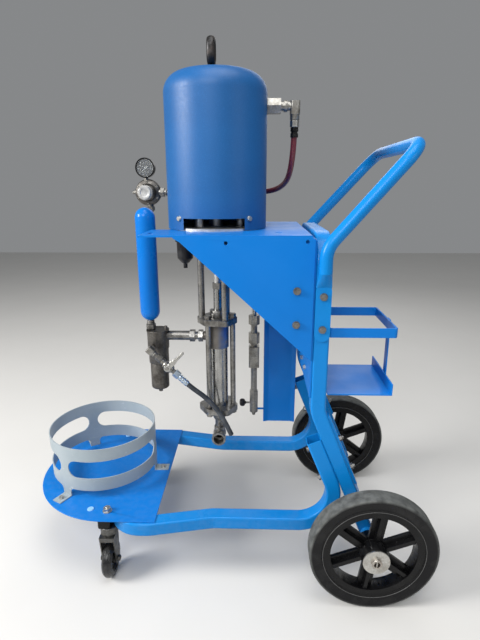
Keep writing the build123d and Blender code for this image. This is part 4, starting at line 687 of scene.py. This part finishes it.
def drain_valve():
    """Street elbow, hexagons and cast ball-valve body in a line down the slope."""
    along = turned(DRAIN_WAY, DRAIN_START)
    out = turned((0, -1, 0), DRAIN_START)
    mesh = bmesh.new()
    lathe(mesh, out, [(0.0072, STUB_START), (0.0072, -0.0060)])
    prism(mesh, out, hexagon(flats=0.0165, turn=radians(20)), low=-0.0190, high=-0.0125)
    prism(mesh, out, hexagon(flats=0.0175, turn=DRAIN_SLOPE + pi / 4, sides=4), low=-0.0085, high=0.0085)
    elbow_nose = [(0.0078, 0.0070), (0.0088, 0.0075), (0.0088, 0.0100), (0.0072, 0.0108),
                  (0.0086, 0.0116), (0.0086, 0.0150), (0.0062, 0.0160), (0.0062, 0.0220)]
    lathe(mesh, along, elbow_nose)
    prism(mesh, along, hexagon(flats=0.0160), low=0.0220, high=0.0360)
    valve_body = [(0.0062, 0.0360), (0.0062, 0.0395), (0.0088, 0.0402), (0.0088, 0.0445),
                  (0.0072, 0.0455), (0.0078, 0.0475), (0.0104, 0.0500), (0.0110, 0.0560),
                  (0.0110, 0.0680), (0.0104, 0.0740), (0.0084, 0.0765), (0.0062, 0.0775),
                  (0.0062, 0.0845)]
    lathe(mesh, along, valve_body)
    stem = turned((0, -1, 0), DRAIN_PIVOT)
    stem_seat = [(0.0078, 0.0060), (0.0078, 0.0098), (0.0066, 0.0104), (0.0040, 0.0106),
                 (0.0040, 0.0168)]
    lathe(mesh, stem, stem_seat)
    place(finish_mesh(mesh, "drain_valve_body", bevel=0.0009), "frame", "plated_fittings", "drain_valve",
          material=AGED_FITTING)
    mesh = bmesh.new()
    prism(mesh, along, hexagon(flats=0.0180), low=0.0840, high=0.1000)
    ferrule_rings = [(0.0068, 0.0990), (0.0076, 0.1020), (0.0080, 0.1030), (0.0080, 0.1090),
                     (0.0074, 0.1105), (0.0080, 0.1120), (0.0080, 0.1180), (0.0074, 0.1195),
                     (0.0080, 0.1210), (0.0080, 0.1290), (0.0072, 0.1305), (0.0050, 0.1306)]
    lathe(mesh, along, ferrule_rings)
    place(finish_mesh(mesh, "drain_ferrule"), "frame", "plated_fittings", "drain_valve",
          material=PALE_FERRULE)


def drain_lever():
    """Wing lever: a ring on the stem and a blade that narrows to a thick rounded tip."""
    reach = Vector((-DRAIN_WAY.z, 0, DRAIN_WAY.x))
    outward = Vector((0, -1, 0))
    facing = Matrix((reach, outward.cross(reach), outward)).transposed().to_4x4()
    where = Matrix.Translation(DRAIN_PIVOT) @ facing
    mesh = bmesh.new()
    lathe(mesh, where, [(0.0041, LEVER_OUT[0]), (0.0088, LEVER_OUT[0]), (0.0088, LEVER_OUT[1]),
                        (0.0041, LEVER_OUT[1])], closed=True)
    tip_turns = [pi * k / TIP_STEPS - pi / 2 for k in range(TIP_STEPS + 1)]
    tip = [(LEVER_TIP + LEVER_TIP_R * cos(turn), LEVER_TIP_R * sin(turn)) for turn in tip_turns]
    blade = [(0.0062, -0.0062), (0.0200, -0.0068), (0.0360, -0.0040), *tip,
             (0.0360, 0.0040), (0.0200, 0.0068), (0.0062, 0.0062)]
    prism(mesh, where, blade, low=LEVER_OUT[0] + 0.0003, high=LEVER_OUT[1] - 0.0003)
    place(finish_mesh(mesh, "drain_wing_lever", bevel=0.0009), "lever", "plated_fittings", "drain_lever")


drain_valve()
drain_lever()

# ------------------------------------------------------------- hose fittings

HOSE_HOLE = 0.0071


def hose_fitting(name, start, way, ferrule):
    """Hexagon nut with a crimped ferrule behind it, hollow for the hose."""
    where = turned(way, start)
    mesh = bmesh.new()
    lathe(mesh, where, [(HOSE_HOLE, 0), (0.0094, 0), (0.0110, 0.0014), (0.0110, 0.0146), (0.0094, 0.0160),
                        (HOSE_HOLE, 0.0160)], segments=6, closed=True)
    place(finish_mesh(mesh, f"{name}_nut"), "frame", "plated_fittings", "hose_nuts")
    mesh = bmesh.new()
    lathe(mesh, where, [(HOSE_HOLE, 0.0162), *ferrule, (HOSE_HOLE, ferrule[-1][1])], closed=True)
    place(finish_mesh(mesh, f"{name}_ferrule", bevel=0.0003), "frame", "black_moulding", "hose_nuts",
          material=BLACK_PLASTIC)


hose_fitting("inlet_hose", (0.174, 0, 1.123), (0, 0, -1),
             [(0.0086, 0.0162), (0.0095, 0.0170), (0.0095, 0.0186), (0.0088, 0.0192), (0.0095, 0.0198),
              (0.0095, 0.0240), (0.0080, 0.0254), (0.0079, 0.0276), (0.0093, 0.0290), (0.0093, 0.0312),
              (0.0087, 0.0318), (0.0093, 0.0324), (0.0093, 0.0372), (0.0084, 0.0380)])
hose_fitting("regulator_hose", (-0.158, 0.140, 0.960), (1, 0, 0),
             [(0.0086, 0.0162), (0.0095, 0.0170), (0.0095, 0.0200), (0.0088, 0.0206), (0.0095, 0.0212),
              (0.0095, 0.0252), (0.0088, 0.0260)])

# ------------------------------------------------------ regulator and gauge

REGULATOR = Vector((-0.210, 0.140, 0.960))
GAUGE = Vector((-0.213, 0.146, 1.024))
BODY_SCREWS = 6
SCREW_CIRCLE_R = 0.0292
KNOB_R = 0.0193
KNOB_FLUTES = 36
FLUTE_DEPTH = 0.0004
KNOB_STEPS = 144
TICKS = 28
LONG_TICK_EVERY = 3
TICK_RIM_R = 0.0205
FIRST_TICK = radians(225)
TICK_PITCH = radians(10)


def regulator():
    """Round cast body with screws round its bonnet, and fittings on four sides."""
    where = turned((0, -1, 0), REGULATOR)
    mesh = bmesh.new()
    case = [(0, -0.0120), (0.0270, -0.0120), (0.0325, -0.0098), (0.0349, -0.0062), (0.0349, -0.0016),
            (0.0338, -0.0006), (0.0338, 0.0006), (0.0349, 0.0016), (0.0349, 0.0046), (0.0325, 0.0082),
            (0.0265, 0.0102), (0.0238, 0.0112), (0.0224, 0.0160), (0.0204, 0.0260), (0.0190, 0.0322),
            (0.0052, 0.0330), (0, 0.0330)]
    lathe(mesh, where, case)
    place(finish_mesh(mesh, "regulator_case", bevel=0.0004), "frame", "cast_silver", "regulator_body",
          material=BROWN_STEEL)
    mesh = bmesh.new()
    screw = [(0.0028, -0.001), (0.0028, 0.0022), (0.0022, 0.0028), (0.0012, 0.0028), (0.0010, 0.0016),
             (0, 0.0016)]
    for k in range(BODY_SCREWS):
        turn = tau * (k + 0.5) / BODY_SCREWS
        seat_at = Vector((SCREW_CIRCLE_R * cos(turn), -0.0085, SCREW_CIRCLE_R * sin(turn)))
        seat = turned((0, -1, 0), REGULATOR + seat_at)
        lathe(mesh, seat, screw, segments=24)
    right = turned((1, 0, 0), REGULATOR)
    outlet = [(0.0100, 0.0300), (0.0100, 0.0340), (0.0088, 0.0440), (0.0096, 0.0450), (0.0096, 0.0500),
              (0.0085, 0.0518)]
    lathe(mesh, right, outlet)
    prism(mesh, right, hexagon(flats=0.0240), low=0.0345, high=0.0440)
    left = turned((-1, 0, 0), REGULATOR)
    side_plug = [(0.0080, 0.0300), (0.0080, 0.0365), (0.0050, 0.0372), (0.0044, 0.0385),
                 (0.0050, 0.0395), (0.0046, 0.0430), (0.0030, 0.0438)]
    lathe(mesh, left, side_plug)
    down = turned((0, 0, -1), REGULATOR + Vector((0.005, 0, 0)))
    lathe(mesh, down, [(0.0088, 0.0300), (0.0088, 0.0345), (0.0076, 0.0350), (0.0076, 0.0498)])
    prism(mesh, down, hexagon(flats=0.0180), low=0.0370, high=0.0480)
    rise = turned((0, 0, 1), REGULATOR + Vector((-0.003, -0.003, 0)))
    lathe(mesh, rise, [(0.0066, 0.0300), (0.0066, 0.0350), (0.0052, 0.0358), (0.0052, 0.0385)])
    place(finish_mesh(mesh, "regulator_fittings"), "frame", "plated_fittings", "regulator_body",
          material=AGED_FITTING)


def regulator_knob():
    """Fluted hand knob with a turned recess in its face."""
    where = turned((0, -1, 0), REGULATOR)
    outline = []
    for k in range(KNOB_STEPS):
        turn = tau * k / KNOB_STEPS
        reach = KNOB_R + FLUTE_DEPTH * cos(KNOB_FLUTES * turn)
        outline.append((reach * cos(turn), reach * sin(turn)))
    mesh = bmesh.new()
    prism(mesh, where, outline, low=0.0340, high=0.0480)
    knob_face = [(0.0182, 0.0478), (0.0176, 0.0500), (0.0162, 0.0514), (0.0110, 0.0514),
                 (0.0100, 0.0505), (0, 0.0503)]
    lathe(mesh, where, knob_face)
    place(finish_mesh(mesh, "regulator_hand_knob", bevel=0.0003), "pressure_knob", "plated_fittings",
          "regulator_knob", material=CAST_SILVER)


def gauge():
    """Black case with a rolled bezel, a dark dial with pale marks, and a glass."""
    where = turned((0, -1, 0), GAUGE)
    mesh = bmesh.new()
    shell = [(0, 0), (0.0225, 0), (0.0252, 0.0025), (0.0252, 0.0172), (0.0260, 0.0184),
             (0.0260, 0.0228), (0.0250, 0.0240), (0.0236, 0.0240), (0.0230, 0.0228), (0.0230, 0.0138),
             (0.0018, 0.0138), (0.0014, 0.0168), (0, 0.0168)]
    lathe(mesh, where, shell)
    place(finish_mesh(mesh, "gauge_shell", bevel=0.0002), "frame", "black_moulding", "gauge_case",
          material=BLACK_PLASTIC)
    mesh = bmesh.new()
    for k in range(TICKS):
        long, wide = (0.0030, 0.0005) if k % LONG_TICK_EVERY == 0 else (0.0012, 0.0003)
        turn = Matrix.Rotation(FIRST_TICK - TICK_PITCH * k, 4, "Z")
        spoke = where @ turn @ Matrix.Translation((TICK_RIM_R - long / 2, 0, 0))
        prism(mesh, spoke, box_outline(long, wide), low=0.0137, high=0.0140)
    place(finish_mesh(mesh, "gauge_marks", bevel=0), "frame", "needle_paint", "gauge_case")
    mesh = bmesh.new()
    lathe(mesh, where, [(0, 0.0212), (0.0229, 0.0212), (0.0229, 0.0220), (0, 0.0224)])
    place(finish_mesh(mesh, "gauge_glass", bevel=0), "frame", "needle_paint", "gauge_case", material=GLASS)


regulator()
regulator_knob()
gauge()

# ------------------------------------------------------------- lifting eye

EYE_SECTION = (0.0095, 0.0059)
EYE_ARC_R = 0.018
EYE_LOW_ARC = 0.014
EYE_ARC_BELOW_TOP = 0.024
EYE_ARC_STEPS = 20
EYE_SIDES = 16


def lifting_eye():
    """Long forged ring standing on a collar: an elliptical bar swept round two half circles."""
    low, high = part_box("lifting_eye")
    middle = Vector(((low.x + high.x) / 2, 0, high.z - EYE_ARC_BELOW_TOP))
    half_turn = [pi * k / EYE_ARC_STEPS for k in range(EYE_ARC_STEPS + 1)]
    path = [(turn, 0.0) for turn in half_turn] + [(pi + turn, -EYE_LOW_ARC) for turn in half_turn]
    mesh = bmesh.new()
    rings = []
    for turn, drop in path:
        out = Vector((0, cos(turn), sin(turn)))
        seat = middle + Vector((0, 0, drop)) + out * EYE_ARC_R
        rings.append([mesh.verts.new(seat + out * EYE_SECTION[1] * cos(tau * k / EYE_SIDES)
                                     + Vector((EYE_SECTION[0] * sin(tau * k / EYE_SIDES), 0, 0)))
                      for k in range(EYE_SIDES)])
    for first, second in zip(rings, rings[1:] + rings[:1]):
        for k in range(EYE_SIDES):
            following = (k + 1) % EYE_SIDES
            mesh.faces.new((first[k], first[following], second[following], second[k]))
    foot = turned((0, 0, 1), (middle.x, 0, low.z))
    lathe(mesh, foot, [(0.0060, 0), (0.0060, 0.0120), (0.0120, 0.0130), (0.0120, 0.0165), (0.0100, 0.0185),
                       (0.0090, 0.0220)])
    place(finish_mesh(mesh, "lifting_ring", bevel=0), "frame", "dark_steel", "lifting_eye")


lifting_eye()

# -------------------------------------------------------------- bleed knob

BLEED_SIDES = 12


def bleed_knob():
    """Small plastic knob revolved in twelve steps, and its screw's end."""
    low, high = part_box("bleed_knob")
    middle = (low + high) / 2
    where = turned((1, 0, 0), (low.x, middle.y, middle.z))
    long = high.x - low.x
    radius = (high.z - low.z) / 2
    profile = [(0, 0.0003), (0.45, 0.0003), (0.78, 0.0020), (0.97, 0.0055), (1.0, 0.0090), (0.97, 0.0125),
               (0.80, 0.0160), (0.40, 0.0180), (0.36, long), (0, long)]
    mesh = bmesh.new()
    lathe(mesh, where, [(share * radius, along) for share, along in profile], segments=BLEED_SIDES)
    place(finish_mesh(mesh, "bleed_grip", bevel=0.0003), "bleed", "dark_plastic", "bleed_knob")


bleed_knob()

# ---------------------------------------------------------- pail ring legs

RING_CENTRE = (-0.344, 0.0)
RING_RADII = (0.1415, 0.1440)
RING_LOW = 0.211
RING_LEGS = (242, 2, 122)
LEG_HALF = 0.0135
LEG_FILLET = 0.013
FILLET_OVERLAP = 0.001
FILLET_STEPS = 6


def ring_fillets():
    """Curved corners where each leg widens into the ring, in the ring's own thickness."""
    in_leg = LEG_HALF - FILLET_OVERLAP
    in_ring = RING_LOW + FILLET_OVERLAP
    bends = [pi / 2 * k / FILLET_STEPS for k in range(FILLET_STEPS + 1)]
    corner = [(in_leg, in_ring), (LEG_HALF + LEG_FILLET, in_ring)]
    corner += [(LEG_HALF + LEG_FILLET * (1 - sin(bend)), RING_LOW - LEG_FILLET * (1 - cos(bend)))
               for bend in bends]
    corner.append((in_leg, RING_LOW - LEG_FILLET))
    mesh = bmesh.new()
    for leg in RING_LEGS:
        for side in (-1, 1):
            sheets = []
            for radius in RING_RADII:
                turns = [(radians(leg) + side * along / RING_RADII[1], up) for along, up in corner]
                sheets.append([mesh.verts.new((RING_CENTRE[0] + radius * cos(turn),
                                               RING_CENTRE[1] + radius * sin(turn), up))
                               for turn, up in turns])
            inner, outer = sheets
            mesh.faces.new(inner)
            mesh.faces.new(outer[::-1])
            for k in range(len(corner)):
                following = (k + 1) % len(corner)
                mesh.faces.new((inner[k], outer[k], outer[following], inner[following]))
    place(finish_mesh(mesh, "ring_leg_fillets", bevel=0), "frame", "grey_hoop", material=GREY_HOOP)


ring_fillets()

# ------------------------------------------------------------- stage, light

FLOOR_REACH = 6
FLOOR_TOP = -0.0005
WARM = (1.0, 0.99, 0.97)
COOL = (0.98, 0.99, 1.0)
WORLD_TINT = (0.80, 0.82, 0.84, 1)
WORLD_STRENGTH = 0.30


def floor_plane():
    """Plain pale floor, which is stage and not part of the object."""
    mesh = bpy.data.meshes.new("floor")
    signs = ((-1, -1), (1, -1), (1, 1), (-1, 1))
    corners = [(x * FLOOR_REACH, y * FLOOR_REACH, FLOOR_TOP) for x, y in signs]
    mesh.from_pydata(corners, [], [(0, 1, 2, 3)])
    floor = bpy.data.objects.new("floor", mesh)
    bpy.context.scene.collection.objects.link(floor)
    s = Shader("floor_paper", roughness=0.75)
    s.colour(s.mix(s.noise(3), (0.60, 0.59, 0.57), (0.64, 0.63, 0.61)))
    dress(floor, s.material)


def soft_light(name, place_at, target, size, power, tint=(1, 1, 1)):
    """Round area light at a place, aimed at a target. Size in metres, power in watts."""
    data = bpy.data.lights.new(name, "AREA")
    data.shape = "DISK"
    data.size = size
    data.energy = power
    data.color = tint
    lamp = bpy.data.objects.new(name, data)
    lamp.location = place_at
    aim = Vector(target) - Vector(place_at)
    lamp.rotation_euler = aim.to_track_quat("-Z", "Y").to_euler()
    bpy.context.scene.collection.objects.link(lamp)


floor_plane()
soft_light("key", (-2.9, -1.1, 2.0), target=(0, 0, 0.65), size=1.3, power=130, tint=WARM)
soft_light("front", (-0.5, -2.6, 2.6), target=(0.1, 0, 0.5), size=1.5, power=50, tint=COOL)
soft_light("side", (2.4, -1.8, 1.5), target=(0.1, 0, 0.4), size=1.6, power=10, tint=COOL)
soft_light("ceiling", (0.3, -0.6, 3.2), target=(0.1, 0, 0.6), size=2.0, power=42)
soft_light("rim", (0.6, 2.6, 2.2), target=(0, 0, 0.7), size=1.8, power=14)
world = bpy.data.worlds.new("studio")
world.use_nodes = True
world.node_tree.nodes["Background"].inputs["Color"].default_value = WORLD_TINT
world.node_tree.nodes["Background"].inputs["Strength"].default_value = WORLD_STRENGTH
bpy.context.scene.world = world
bpy.context.scene.view_settings.view_transform = "Standard"
